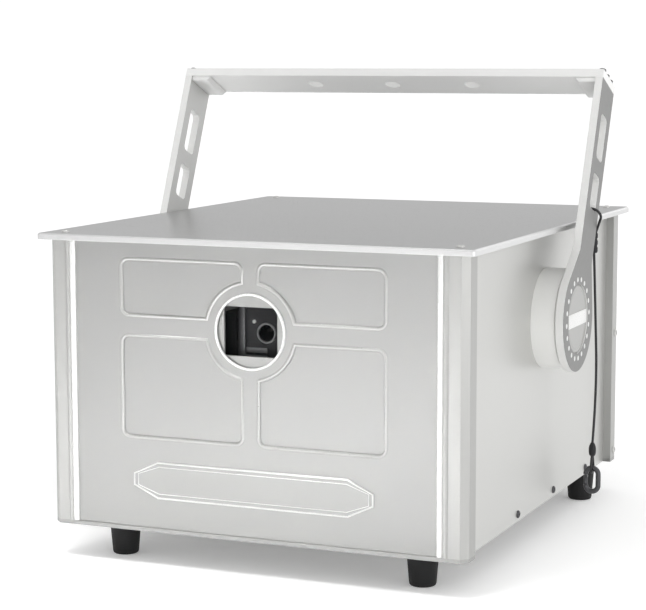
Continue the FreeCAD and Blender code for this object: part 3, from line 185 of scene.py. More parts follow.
def cable_surface():
    """Fine steel strands laid round a wire."""
    made = surface("black_wire", (0.05, 0.05, 0.052), 0.7, 0.40, grain=0.4, bump=0.1, cloud=0.2, edge=0)
    tree = made.node_tree
    place = shader_node(tree, "TexCoord")
    lay = shader_node(tree, "Mapping", {"Vector": place.outputs["Object"], "Rotation": (0.6, 0.6, 0)})
    strands = shader_node(tree, "TexWave", {"Vector": lay.outputs["Vector"], "Scale": 320,
                                            "Distortion": 0.4}, bands_direction="Z")
    relief = next(item for item in tree.nodes if item.bl_idname == "ShaderNodeBump")
    groove = shader_node(tree, "Bump", {"Height": strands.outputs["Fac"], "Strength": 0.6,
                                        "Distance": STRAND_DEPTH * MM, "Normal": relief.outputs["Normal"]})
    tree.links.new(groove.outputs["Normal"], tree.nodes["Principled BSDF"].inputs["Normal"])
    return made


def glass_surface():
    """A clear window that mirrors more at a low angle and has faint smears."""
    made = surface("window_glass", (0.012, 0.014, 0.015), 0, 0.04, grain=6, bump=0.01, cloud=0.03, edge=0)
    tree = made.node_tree
    sheen = shader_node(tree, "Fresnel", {"IOR": 1.45})
    veil = shader_node(tree, "MapRange", {"Value": sheen.outputs["Fac"], "From Min": 0.03, "From Max": 1,
                                          "To Min": 0.05, "To Max": 1})
    tree.links.new(veil.outputs["Result"], tree.nodes["Principled BSDF"].inputs["Alpha"])
    return made


def shade_by_facing(made, axis, outer_share, inner_share):
    """Scales the colour of the faces square to an axis, by whether they face away from the middle: painted
    light and shade by facing.
    """
    tree = made.node_tree
    bsdf = tree.nodes["Principled BSDF"]
    colour = bsdf.inputs["Base Color"].links[0].from_socket
    place = shader_node(tree, "TexCoord")
    facing = shader_node(tree, "SeparateXYZ", {0: place.outputs["Normal"]})
    spot = shader_node(tree, "SeparateXYZ", {0: place.outputs["Object"]})
    side = shader_node(tree, "Math", {0: spot.outputs[axis]}, operation="SIGN")
    outward = shader_node(tree, "Math", {0: facing.outputs[axis], 1: side.outputs["Value"]},
                          operation="MULTIPLY")
    share = shader_node(tree, "MapRange", {"Value": outward.outputs["Value"], "From Min": -1,
                                           "From Max": 1, "To Min": inner_share, "To Max": outer_share})
    broad = shader_node(tree, "Math", {0: facing.outputs[axis]}, operation="ABSOLUTE")
    face = shader_node(tree, "MapRange", {"Value": broad.outputs["Value"], "From Min": 0.6,
                                          "From Max": 0.95})
    shaded = shader_node(tree, "Mix", {"Factor": face.outputs["Result"], "A": colour,
                                       "B": share.outputs["Result"]}, data_type="RGBA", blend_type="MULTIPLY")
    tree.links.new(shaded.outputs["Result"], bsdf.inputs["Base Color"])
    return made


# Finishes: name, colour, metallic and roughness, then grain, and edge wear with a painted edge highlight
post_silver = surface("post_silver", (0.43, 0.43, 0.42), 0.8, 0.38, grain=0.7, stretch=(1, 1, 0.1),
                      bump=0.05, cloud=0.02)
silver = surface("silver_panel", (0.36, 0.36, 0.352), 0.8, 0.40, grain=0.7, bump=0.05, cloud=0.015)
# A lighter copy of the panels' silver for the side panels, as painted light on them.
side_silver_lit = surface("side_silver_lit", (0.61, 0.61, 0.595), 0.8, 0.40, grain=0.7, bump=0.05, cloud=0.015)
# A bright copy of the posts' silver for the post trims, as a painted highlight.
trim_silver_highlight = surface("trim_silver_highlight", (0.86, 0.86, 0.85), 0.7, 0.24, grain=0.5, stretch=(1, 1, 0.05),
                      bump=0.04, cloud=0.02)
ring_silver = surface("ring_silver", (0.94, 0.94, 0.93), 0.3, 0.28, grain=0.5, bump=0.04, cloud=0.02)
# A lighter copy of the panels' silver for the pressed field beads, as a painted highlight.
bead_silver_highlight = surface("bead_silver_highlight", (0.46, 0.46, 0.45), 0.8, 0.30, grain=0.6, bump=0.04, cloud=0.02)
satin = surface("satin_aluminium", (0.62, 0.62, 0.605), 0.9, 0.36, grain=0.6, bump=0.10, cloud=0.03, edge=0.6)
pale_satin = surface("pale_satin", (0.87, 0.87, 0.85), 0.2, 0.40, grain=0.8, bump=0.08, cloud=0.03, edge=0.6)
bright_metal = surface("bright_metal", (0.78, 0.78, 0.77), 0.6, 0.30, grain=0.5, bump=0.05, cloud=0.02,
                       edge=0.4)
knob_grey = surface("knob_grey", (0.42, 0.42, 0.41), 0.3, 0.40, grain=0.6, bump=0.1, cloud=0.05, edge=0.4)
nylon = surface("pale_nylon", (0.74, 0.74, 0.72), 0, 0.5, grain=0.8, bump=0.1, cloud=0.04, edge=0.2)
inner_pale = surface("inner_pale", (0.27, 0.27, 0.275), 0.4, 0.40, grain=0.5, bump=0.08, cloud=0.06, edge=0.6)
motor_grey = surface("motor_grey", (0.16, 0.16, 0.165), 0.7, 0.35, grain=0.5, bump=0.1, cloud=0.1, edge=0.8)
black_metal = surface("black_anodised", (0.028, 0.028, 0.03), 0.6, 0.42, grain=0.5, bump=0.15, cloud=0.2,
                      edge=0.3)
rubber = surface("black_rubber", (0.011, 0.011, 0.0115), 0, 0.62, grain=0.9, bump=0.3, cloud=0.25, edge=0.25,
                 shader={"Specular IOR Level": 0.3})
steel = surface("zinc_steel", (0.60, 0.60, 0.585), 1, 0.30, grain=0.4, bump=0.08, cloud=0.04, edge=0.4,
                edge_width=0.2)
dark_steel = surface("dark_steel", (0.10, 0.10, 0.105), 0.9, 0.38, grain=0.5, bump=0.12, cloud=0.15, edge=0.5,
                     edge_width=0.3)
plastic = surface("black_plastic", (0.022, 0.022, 0.024), 0, 0.45, grain=0.8, bump=0.25, cloud=0.2, edge=0.2,
                  edge_width=0.3)
case_metal = surface("perforated_case", (0.62, 0.63, 0.62), 0.9, 0.45, grain=1.5, bump=0.15, cloud=0.06)
board = surface("circuit_board", (0.02, 0.16, 0.07), 0, 0.35, grain=2.5, bump=0.3, cloud=0.25, edge=0.15)
brass = surface("pin_brass", (0.74, 0.58, 0.30), 1, 0.28, grain=0.4, bump=0.05, cloud=0.05, edge=0.4,
                edge_width=0.2)
display = surface("dark_display", (0.01, 0.012, 0.016), 0, 0.12, grain=3, bump=0.02, cloud=0.2, edge=0.1)
mirror = surface("scanner_mirror", (0.22, 0.25, 0.30), 1, 0.06, grain=4, bump=0.01, cloud=0.02, edge=0.2)
arm_satin = surface("arm_satin", (0.83, 0.83, 0.815), 0.12, 0.48, grain=0.9, stretch=(1, 1, 0.15), bump=0.06,
                    cloud=0.07, edge=0.5, edge_width=0.9)
# Arms: broad side faces painted darker than the edges, and the outer faces much darker than the inner ones,
# as painted shade.
shade_by_facing(arm_satin, "X", outer_share=0.27, inner_share=0.70)
bar_satin = surface("bar_satin", (0.83, 0.83, 0.82), 0.05, 0.48, grain=0.8, stretch=(0.08, 1, 1), bump=0.06,
                    cloud=0.03, edge=0.6)
# Crossbar: its underside painted lighter, as painted light.
shade_by_facing(bar_satin, "Z", outer_share=1, inner_share=1.18)
lid_silver = surface("lid_silver", (0.68, 0.68, 0.68), 1, 0.30, grain=0.35, stretch=(1, 0.06, 1), bump=0.01,
                     cloud=0.01)
# Lid: its top and underside painted darker than its edges, as painted shade.
shade_by_facing(lid_silver, "Z", outer_share=0.61, inner_share=0.61)
wire = cable_surface()
glass = glass_surface()

SLOT_FINISHES = {
    "silver_paint": silver, "satin_aluminium": satin, "black_aluminium": black_metal,
    "black_rubber": rubber, "pale_nylon": nylon, "window_glass": glass, "screw_steel": steel,
    "dark_steel": dark_steel, "black_cable": wire, "black_plastic": plastic, "supply_case": case_metal,
    "board_green": board, "dark_display": display, "scanner_mirror": mirror,
}
NODE_FINISHES = {
    "lid": lid_silver, "corner_posts": post_silver, "yoke_arm_left": arm_satin, "yoke_arm_right": arm_satin,
    "side_panel_left": side_silver_lit, "side_panel_right": side_silver_lit, "pivot_boss_left": pale_satin,
    "pivot_boss_right": pale_satin, "yoke_crossbar": bar_satin, "yoke_corner_blocks": bar_satin,
    "galvo_motor_x": motor_grey, "galvo_motor_y": motor_grey,
}
for row in frame["record"]["subparts"]:
    node = nodes[row["node"]]
    finish = NODE_FINISHES.get(row["node"], SLOT_FINISHES[row["material_slot"]])
    node.data.materials.clear()
    node.data.materials.append(finish)

# Making pieces
WELD = 0.0005
SMOOTH_ANGLE = math.radians(35)
SCREW_SPIN = 0.7
TINY = 1e-9


def add_piece(name, data, finish, body, replaced=()):
    """A new object with a finish, riding on a body, in place of the nodes it replaces."""
    obj = bpy.data.objects.new(name, data)
    scene.collection.objects.link(obj)
    data.materials.append(finish)
    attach(obj, body)
    if replaced:
        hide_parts(*replaced)
    return obj


def add_form(name, form, finish, body, replaced=()):
    """A piece in metres from a bmesh in millimetres, smooth but for its sharp edges."""
    bmesh.ops.remove_doubles(form, verts=form.verts, dist=WELD)
    bmesh.ops.recalc_face_normals(form, faces=form.faces)
    for edge in form.edges:
        edge.smooth = not edge.is_manifold or edge.calc_face_angle(0) < SMOOTH_ANGLE
    for face in form.faces:
        face.smooth = True
    bmesh.ops.scale(form, vec=(MM, MM, MM), verts=form.verts)
    data = bpy.data.meshes.new(name)
    form.to_mesh(data)
    form.free()
    return add_piece(name, data, finish, body, replaced)


def join_rings(form, one, two):
    """Adds the faces between two closed rings of points."""
    for n in range(len(one)):
        after = (n + 1) % len(one)
        form.faces.new([one[n], one[after], two[after], two[n]])


def turned(form, profile, spot=(0, 0, 0), way=(0, 0, 1), steps=48):
    """Adds a form turned about an axis, from its (radius, height) profile."""
    stand = Matrix.Translation(Vector(spot)) @ Vector(way).to_track_quat("Z", "Y").to_matrix().to_4x4()
    rings = []
    for radius, height in profile:
        count = 1 if radius == 0 else steps
        ring = []
        for n in range(count):
            angle = FULL_TURN * n / steps
            point = Vector((radius * math.cos(angle), radius * math.sin(angle), height))
            ring.append(form.verts.new(stand @ point))
        rings.append(ring)
    for one, two in zip(rings, rings[1:]):
        for n in range(steps):
            corners = [one[n % len(one)], one[(n + 1) % len(one)],
                       two[(n + 1) % len(two)], two[n % len(two)]]
            corners = list(dict.fromkeys(corners))
            if len(corners) > 2:
                form.faces.new(corners)


def rounded_block(form, low, high, radius, segments=3):
    """Adds a box with rounded edges."""
    made = bmesh.new()
    bmesh.ops.create_cube(made, size=1)
    for vert in made.verts:
        vert.co = Vector(one if part < 0 else two for part, one, two in zip(vert.co, low, high))
    bmesh.ops.bevel(made, geom=made.edges[:], offset=radius, segments=segments, affect="EDGES", profile=0.5)
    held = bpy.data.meshes.new("block")
    made.to_mesh(held)
    made.free()
    form.from_mesh(held)
    bpy.data.meshes.remove(held)


def arc(centre, radius, start, end, steps=8):
    """Points along an arc in a plane, its angles in degrees."""
    angles = [math.radians(start + (end - start) * n / steps) for n in range(steps + 1)]
    return [(centre[0] + radius * math.cos(angle), centre[1] + radius * math.sin(angle)) for angle in angles]


def framed_opening(form, spot, outer_half, inner_half, corner, y_low, y_high):
    """Adds a rectangular frame with rounded corners, seen along Y."""
    rings = []
    for y, half, radius in ((y_low, inner_half, corner / 2), (y_low, outer_half, corner),
                            (y_high, outer_half, corner), (y_high, inner_half, corner / 2)):
        wide, tall = half[0] - radius, half[1] - radius
        line = []
        for across, up, start in ((1, 1, 0), (-1, 1, 90), (-1, -1, 180), (1, -1, 270)):
            line += arc((spot[0] + across * wide, spot[1] + up * tall), radius, start, start + 90, steps=4)
        rings.append([form.verts.new((x, y, z)) for x, z in line])
    for one, two in zip(rings, rings[1:] + rings[:1]):
        join_rings(form, one, two)


def pierced_plate(form, low, high, spot, radius, steps=48):
    """Adds an upright plate with a round hole, seen along Y."""
    corners = [math.atan2(z - spot[1], x - spot[0]) for x in (low[0], high[0]) for z in (low[2], high[2])]
    angles = sorted(corners + [FULL_TURN * n / steps - math.pi for n in range(steps)])
    rings = []
    for y in (low[1], high[1]):
        inner = []
        outer = []
        for angle in angles:
            across, up = math.cos(angle), math.sin(angle)
            side = high[0] if across > 0 else low[0]
            end = high[2] if up > 0 else low[2]
            reach_x = (side - spot[0]) / across if abs(across) > TINY else math.inf
            reach_z = (end - spot[1]) / up if abs(up) > TINY else math.inf
            reach = min(reach_x, reach_z)
            inner.append(form.verts.new((spot[0] + radius * across, y, spot[1] + radius * up)))
            outer.append(form.verts.new((spot[0] + reach * across, y, spot[1] + reach * up)))
        rings += [inner, outer]
    for one, two in ((0, 1), (1, 3), (3, 2), (2, 0)):
        join_rings(form, rings[one], rings[two])


def recessed_head(profile, outline, depth):
    """A turned screw head with a socket cut into its top, as a mesh in millimetres."""
    top = profile[-1][1]
    head_form = bmesh.new()
    turned(head_form, profile, steps=40)
    bmesh.ops.remove_doubles(head_form, verts=head_form.verts, dist=WELD)
    tool_form = bmesh.new()
    rings = [[tool_form.verts.new((x, y, z)) for x, y in outline] for z in (top - depth, top + depth)]
    for ring in rings:
        tool_form.faces.new(ring)
    join_rings(tool_form, *rings)
    pair = []
    for name, form in (("head", head_form), ("tool", tool_form)):
        bmesh.ops.recalc_face_normals(form, faces=form.faces)
        data = bpy.data.meshes.new(name)
        form.to_mesh(data)
        form.free()
        obj = bpy.data.objects.new(name, data)
        scene.collection.objects.link(obj)
        pair.append(obj)
    head, tool = pair
    cut = head.modifiers.new("cut", "BOOLEAN")
    cut.operation = "DIFFERENCE"
    cut.solver = "EXACT"
    cut.object = tool
    graph = bpy.context.evaluated_depsgraph_get()
    made = bpy.data.meshes.new_from_object(head.evaluated_get(graph))
    for obj in pair:
        bpy.data.objects.remove(obj)
    return made


def set_heads(form, head, seats):
    """Adds a copy of a screw head at each seat, turned a little differently each time."""
    for number, (spot, way) in enumerate(seats):
        stand = Vector(way).to_track_quat("Z", "Y").to_matrix().to_4x4()
        spin = Matrix.Rotation(SCREW_SPIN * number, 4, "Z")
        count = len(form.verts)
        form.from_mesh(head)
        form.verts.ensure_lookup_table()
        bmesh.ops.transform(form, matrix=Matrix.Translation(Vector(spot)) @ stand @ spin,
                            verts=form.verts[count:])


def rim_curve(name, loops, radius, finish, closed=True):
    """Round beads on the housing, along lines of points in millimetres."""
    data = bpy.data.curves.new(name, "CURVE")
    data.dimensions = "3D"
    for loop in loops:
        spline = data.splines.new("POLY")
        spline.points.add(len(loop) - 1)
        for spot, point in zip(spline.points, loop):
            spot.co = (*(value * MM for value in point), 1)
        spline.use_cyclic_u = closed
    data.bevel_depth = radius * MM
    data.bevel_resolution = 3
    data.use_fill_caps = not closed
    add_piece(name, data, finish, "housing")


def yoke_spot(x, across, up):
    """A point of the leaned yoke from its place on the upright one."""
    return Vector((x, PIVOT_Y + across * math.cos(YOKE_LEAN) + up * math.sin(YOKE_LEAN),
                   PIVOT_Z - across * math.sin(YOKE_LEAN) + up * math.cos(YOKE_LEAN)))


# Safety cable
CABLE_ROUTE = [(177, 57, 215), (178.3, 58.4, 171.645), (180.4, 58.8, 108.855), (178, 57, 65.5)]
CABLE_DIAMETER = 2
cable_data = bpy.data.curves.new("safety_cable_wire", "CURVE")
cable_data.dimensions = "3D"
cable_line = cable_data.splines.new("NURBS")
cable_line.points.add(len(CABLE_ROUTE) - 1)
for spot, point in zip(cable_line.points, CABLE_ROUTE):
    spot.co = (*(value * MM for value in point), 1)
cable_line.order_u = 3
cable_line.use_endpoint_u = True
cable_data.bevel_depth = CABLE_DIAMETER * MM / 2
cable_data.bevel_resolution = 6
cable_data.use_fill_caps = True
cable = add_piece("safety_cable_wire", cable_data, wire, "yoke", ["safety_cable"])

# Crimped ferrules
UPPER_FERRULE = [(0, 0), (1.9, 0), (2.5, 0.5), (2.8, 1.6), (2.8, 4.2), (2.35, 4.9), (2.35, 6.1), (2.8, 6.8),
                 (2.8, 9.4), (2.35, 10.1), (2.35, 11.3), (2.8, 12), (2.8, 14.4), (2.5, 15.5), (1.9, 16),
                 (0, 16)]
LOWER_FERRULE = [(0, 0), (1.7, 0), (2.3, 0.6), (2.75, 2), (2.9, 4), (2.9, 6), (2.6, 7.8), (1.9, 9.4),
                 (1.3, 10.5), (0, 10.5)]
lower_x, lower_y, lower_z = CABLE_ROUTE[-1]
lower_length = LOWER_FERRULE[-1][1]
form = bmesh.new()
turned(form, UPPER_FERRULE, CABLE_ROUTE[0], steps=32)
turned(form, LOWER_FERRULE, (lower_x, lower_y, lower_z - lower_length), steps=32)
ferrules = add_form("crimped_ferrules", form, black_metal, "yoke", ["cable_ferrules"])

# Beads pressed round the four fields of the front panel
FIELD_INNER = 6.15
FIELD_OUTER = 102
FIELD_CORNER = 6
HALO = 34.5
FIELD_ROWS = {"low": (95, 169), "high": (183.3, 224)}
BEAD_RADIUS = 1.5
BEAD_SINK = 0.8
loops = []
for side in (1, -1):
    for row, (bottom, top) in FIELD_ROWS.items():
        near, far = (top, bottom) if row == "low" else (bottom, top)
        turn = 1 if far > near else -1
        outer_x = FIELD_OUTER - FIELD_CORNER
        inner_x = FIELD_INNER + FIELD_CORNER
        meet_x = math.sqrt(HALO ** 2 - (near - BEAM_HEIGHT) ** 2)
        meet_z = math.sqrt(HALO ** 2 - FIELD_INNER ** 2)
        loop = [(meet_x, near)]
        loop += arc((outer_x, near + turn * FIELD_CORNER), FIELD_CORNER, -90 * turn, 0)
        loop += arc((outer_x, far - turn * FIELD_CORNER), FIELD_CORNER, 0, 90 * turn)
        loop += arc((inner_x, far - turn * FIELD_CORNER), FIELD_CORNER, 90 * turn, 180 * turn)
        start = math.degrees(math.atan2(turn * meet_z, FIELD_INNER))
        end = math.degrees(math.atan2(near - BEAM_HEIGHT, meet_x))
        loop += arc((0, BEAM_HEIGHT), HALO, start, end, steps=16)[:-1]
        loops.append([(side * x, FRONT_FACE + BEAD_SINK, z) for x, z in loop])
# The beads are coloured lighter than the panel, as a painted highlight.
rim_curve("field_beads", loops, BEAD_RADIUS, bead_silver_highlight)

# Trims along the posts, coloured bright as a painted highlight on their beads
TRIM_SPOTS = [(141.4, -192.3), (145.2, 192.3)]
TRIM_RADIUS = 2.6
TRIM_ENDS = (29.4, 235.7)
lines = [[(x_sign * x, y, z) for z in TRIM_ENDS] for x_sign in (1, -1) for x, y in TRIM_SPOTS]
rim_curve("post_trims", lines, TRIM_RADIUS, trim_silver_highlight, closed=False)

# Fine double border of the bare plate, each line with its inset and radius
label_box_low, label_box_high = node_box("label_plate")
LABEL_HALF = label_box_high[0]
LABEL_FACE = label_box_low[1]
LABEL_LOW, LABEL_HIGH = label_box_low[2], label_box_high[2]
LABEL_CUT = (19, 9)
BORDERS = {"label_edge": (0.3, 0.75), "label_line": (3.4, 0.35)}


def octagon(inset):
    """The plate's outline drawn inwards, by less where its cut corners meet the sides."""
    wide, tall = LABEL_CUT
    slant = math.hypot(wide, tall)
    x_out = LABEL_HALF - inset
    x_in = LABEL_HALF - wide - inset * (1 - tall / slant) / 2
    z_low, z_high = LABEL_LOW + inset, LABEL_HIGH - inset
    z_in = tall + inset * (1 - wide / slant) / 2
    right = [(x_in, z_low), (x_out, LABEL_LOW + z_in), (x_out, LABEL_HIGH - z_in), (x_in, z_high)]
    return right + [(-x, z) for x, z in reversed(right)]


for name, (inset, radius) in BORDERS.items():
    rim_curve(name, [[(x, LABEL_FACE, z) for x, z in octagon(inset)]], radius, bright_metal)

# Window ring with a rolled edge
RING = [(25.5, 0), (25.5, 0.9), (25.7, 1.35), (26.1, 1.7), (26.6, 1.75), (27, 1.4), (27.3, 0.7), (27.3, 0),
        (25.5, 0)]
form = bmesh.new()
turned(form, RING, (0, FRONT_FACE, BEAM_HEIGHT), (0, -1, 0), steps=96)
add_form("window_ring", form, ring_silver, "housing", ["aperture_ring"])

# Cross-recess screws of the lid, the posts and the side panels
SCREW_HEAD = [(0, -0.1), (2.9, -0.1), (2.9, 0.3), (2.75, 0.75), (2.4, 1.15), (1.8, 1.42), (1.0, 1.56),
              (0, 1.6)]
RECESS_LONG = 1.7
RECESS_THIN = 0.34
RECESS_DEPTH = 1.1
LID_SCREW_X = 152
CORNER_SCREW_Y = 184
POST_SCREW_HEIGHTS = (35, 135)
SIDE_SCREW_PLACES = (-60, 30, 120)
SIDE_SCREW_HEIGHT = 31.5
quarter = [(RECESS_LONG, -RECESS_THIN), (RECESS_LONG, RECESS_THIN), (RECESS_THIN, RECESS_THIN)]
cross = []
for n in range(4):
    turn = Matrix.Rotation(n * FULL_TURN / 4, 2)
    cross += [tuple(turn @ Vector(point)) for point in quarter]
cross_head = recessed_head(SCREW_HEAD, cross, RECESS_DEPTH)
seats = []
for x_sign in (1, -1):
    for y_sign in (1, -1):
        seats.append(((x_sign * LID_SCREW_X, y_sign * CORNER_SCREW_Y, LID_TOP), (0, 0, 1)))
    for z in POST_SCREW_HEIGHTS:
        seats.append(((x_sign * BODY_HALF_WIDTH, CORNER_SCREW_Y, z), (x_sign, 0, 0)))
form = bmesh.new()
set_heads(form, cross_head, seats)
add_form("cross_recess_screws", form, steel, "housing", ["case_screws"])
seats = [((x_sign * SIDE_FACE, y, SIDE_SCREW_HEIGHT), (x_sign, 0, 0))
         for x_sign in (1, -1) for y in SIDE_SCREW_PLACES]
form = bmesh.new()
set_heads(form, cross_head, seats)
add_form("side_screws", form, dark_steel, "housing")

# Hex-socket screws of the yoke
CAP_HEAD = [(0, -0.1), (2.9, -0.1), (2.9, 1.7), (2.75, 2.2), (2.4, 2.5), (1.9, 2.6), (0, 2.6)]
HEX_RADIUS = 1.5
HEX_DEPTH = 1.6
CAP_SPREAD = (-11, 0, 11)
hex_angles = [n * FULL_TURN / 6 for n in range(6)]
hexagon = [(HEX_RADIUS * math.cos(angle), HEX_RADIUS * math.sin(angle)) for angle in hex_angles]
cap_head = recessed_head(CAP_HEAD, hexagon, HEX_DEPTH)
yoke_up = yoke_spot(0, 0, 1) - yoke_spot(0, 0, 0)
seats = [(yoke_spot(x_sign * ARM_MIDDLE, across, BAR_TOP), yoke_up)
         for x_sign in (1, -1) for across in CAP_SPREAD]
form = bmesh.new()
set_heads(form, cap_head, seats)
add_form("hex_socket_screws", form, dark_steel, "yoke", ["yoke_screws"])

# Corner blocks under the crossbar, bevelled at their inner end
BLOCK_OUTLINE = [(174, 189.5), (157.5, 189.5), (157.5, 188.6), (160.5, 185.9), (174, 185.9)]
BLOCK_HALF = 16.5
BLOCK_BEVEL = 0.5
form = bmesh.new()
for x_sign in (1, -1):
    ends = [[form.verts.new(yoke_spot(x_sign * x, across, up)) for x, up in BLOCK_OUTLINE]
            for across in (-BLOCK_HALF, BLOCK_HALF)]
    for end in ends:
        form.faces.new(end)
    join_rings(form, *ends)
bmesh.ops.bevel(form, geom=form.edges[:], offset=BLOCK_BEVEL, segments=2, affect="EDGES", profile=0.5)
add_form("corner_blocks", form, bar_satin, "yoke", ["yoke_corner_blocks"])

# Rubber feet with a rounded tip and a sunk fixing screw
FOOT = [(0, 26), (12, 26), (12, 24.5), (11.9, 23.6), (11.55, 22.9), (11.4, 22), (9.75, 2.2), (9.4, 0.9),
        (8.6, 0.2), (7.6, 0), (4.6, 0), (4.3, 0.3), (4.2, 5), (3.2, 5.2), (3, 4.4), (0, 4.2)]
FEET = [(118, -162), (-118, -162), (144, 143), (-144, 143)]
form = bmesh.new()
for x, y in FEET:
    turned(form, FOOT, (x, y, 0))
add_form("rubber_feet", form, rubber, "housing", ["feet"])

# Angle marks on the arms' discs
MARKS = 20
MARK_CIRCLE = 30
MARK = [(0, -0.1), (1.9, -0.1), (1.9, 0.05), (1.7, 0.1), (0, 0.12)]
form = bmesh.new()
for x_sign in (1, -1):
    for n in range(MARKS):
        angle = FULL_TURN * (n + 0.5) / MARKS
        spot = yoke_spot(x_sign * ARM_OUTSIDE, MARK_CIRCLE * math.cos(angle), MARK_CIRCLE * math.sin(angle))
        turned(form, MARK, spot, (x_sign, 0, 0), steps=20)
add_form("angle_marks", form, bright_metal, "yoke")

# Nylon rims in the gaps between the bosses and the arms
WASHER_RIM = [(31, 0), (37.6, 0), (37.9, 0.3), (37.9, 0.8), (37.6, 1.1), (31, 1.1), (31, 0)]
WASHER_GAP = 0.05
form = bmesh.new()
for x_sign in (1, -1):
    turned(form, WASHER_RIM, (x_sign * (BOSS_TOP + WASHER_GAP), PIVOT_Y, PIVOT_Z), (x_sign, 0, 0), steps=96)
add_form("washer_rims", form, nylon, "housing")

# Lock knobs: a disc with a turned rim and a rounded grip bar
KNOB_DISC = [(0, 0), (25.3, 0), (25.5, 0.2), (25.5, 1.6), (25.2, 1.95), (23.4, 2), (23.1, 1.75), (22.3, 1.75),
             (22, 2), (0, 2)]
KNOB_SEAT = node_box("lock_knob_right")[0][0]
GRIP_SEAT = 179.1
GRIP_HALF_LENGTH = 23.5
GRIP_HALF_HEIGHT = 5.25
GRIP_ROUND = 0.4
for word, x_sign in (("right", 1), ("left", -1)):
    form = bmesh.new()
    turned(form, KNOB_DISC, (x_sign * KNOB_SEAT, PIVOT_Y, PIVOT_Z), (x_sign, 0, 0), steps=72)
    knob = f"lock_knob_{word}"
    add_form(f"knob_disc_{word}", form, knob_grey, knob, [knob])
    form = bmesh.new()
    inner, outer = sorted((x_sign * GRIP_SEAT, x_sign * ARM_OUTSIDE))
    rounded_block(form, (inner, PIVOT_Y - GRIP_HALF_LENGTH, PIVOT_Z - GRIP_HALF_HEIGHT),
                  (outer, PIVOT_Y + GRIP_HALF_LENGTH, PIVOT_Z + GRIP_HALF_HEIGHT), GRIP_ROUND)
    add_form(f"knob_bar_{word}", form, bright_metal, knob)

# Scanner cover behind the window, with the beam's opening, and a bracket beside it
COVER_LOW = (-10.5, -176.6, 134)
COVER_HIGH = (19.5, -174.6, 192)
BEAM_HOLE = (5.6, 173.6)
BEAM_RADIUS = 6
BEZEL = [(6, 0), (6, 0.8), (6.2, 1.1), (7, 1.1), (7.4, 0.7), (7.4, 0), (6, 0)]
COVER_SCREW = [(0, -0.1), (1.4, -0.1), (1.4, 0.5), (0.9, 0.9), (0, 1)]
COVER_SCREW_PLACES = (-4, 16)
COVER_SCREW_HEIGHT = 181.4
BRACKET_BLOCKS = [((-16.7, -177, 134), (-10.9, -173.4, 197)), ((-17.5, -177, 134), (-10.9, -173.4, 138))]
BRACKET_ROUND = 0.8
COVER_BARS = [((-10, -177.5, 159.3), (6.3, -176.5, 163)), ((-10, -178.1, 154.5), (6.3, -176.5, 157.5))]
COVER_BAR_ROUND = 0.3
cover_face = COVER_LOW[1]
form = bmesh.new()
pierced_plate(form, COVER_LOW, COVER_HIGH, BEAM_HOLE, BEAM_RADIUS)
add_form("scanner_cover", form, black_metal, "housing")
form = bmesh.new()
for low, high in BRACKET_BLOCKS:
    rounded_block(form, low, high, BRACKET_ROUND)
add_form("window_bracket", form, motor_grey, "housing")
form = bmesh.new()
for low, high in COVER_BARS:
    rounded_block(form, low, high, COVER_BAR_ROUND)
turned(form, BEZEL, (BEAM_HOLE[0], cover_face, BEAM_HOLE[1]), (0, -1, 0))
add_form("cover_trim", form, inner_pale, "housing")
form = bmesh.new()
for x in COVER_SCREW_PLACES:
    turned(form, COVER_SCREW, (x, cover_face, COVER_SCREW_HEIGHT), (0, -1, 0), steps=20)
add_form("cover_screws", form, bright_metal, "housing")

# Places on the rear panel
INLET_X, _, ROW_Z = middle("power_inlet")
CONTROL_X = middle("ilda_socket")[0]
CONTROL_TOP = node_box("ilda_socket")[1][1]
DISPLAY_Z = middle("display_window")[2]
data_low, data_high = node_box("dmx_sockets")
LIP_TOP = data_high[1]
DATA_HALF = 13
DATA_X = (data_high[0] - DATA_HALF, data_low[0] + DATA_HALF)
fan_low, fan_high = node_box("fan_frames")
FAN_Z = (fan_low[2] + fan_high[2]) / 2
FAN_X = fan_high[0] - (fan_high[2] - fan_low[2]) / 2
BUTTON_SPOTS = [middle(f"menu_button_{number}") for number in (1, 2, 3, 4)]

# Pins of the rear sockets
INLET_PINS = [(-7, -2), (0, 2), (7, -2)]
INLET_PIN_HALF = (1.1, 2.1)
INLET_PIN_ENDS = (167, 177.2)
INLET_PIN_ROUND = 0.4
DATA_PIN = [(0, 0), (1.3, 0), (1.3, 6.4), (0.9, 7.1), (0, 7.3)]
DATA_PINS = [(5, 0), (-5, 0), (0, -5)]
DATA_PIN_ROOT = 171
SMALL_PIN = [(0, 0), (0.5, 0), (0.5, 3.2), (0.3, 3.6), (0, 3.7)]
SMALL_PIN_ROWS = [(1.42, 13), (-1.42, 12)]
SMALL_PIN_PITCH = 2.77
form = bmesh.new()
half_x, half_z = INLET_PIN_HALF
root, tip = INLET_PIN_ENDS
for across, up in INLET_PINS:
    x, z = INLET_X + across, ROW_Z + up
    rounded_block(form, (x - half_x, root, z - half_z), (x + half_x, tip, z + half_z), INLET_PIN_ROUND)
for x in DATA_X:
    for across, up in DATA_PINS:
        turned(form, DATA_PIN, (x + across, DATA_PIN_ROOT, ROW_Z + up), (0, 1, 0), steps=16)
for up, count in SMALL_PIN_ROWS:
    for n in range(count):
        across = (n - (count - 1) / 2) * SMALL_PIN_PITCH
        turned(form, SMALL_PIN, (CONTROL_X + across, LIP_TOP, ROW_Z + up), (0, 1, 0), steps=10)
add_form("socket_pins", form, brass, "housing")

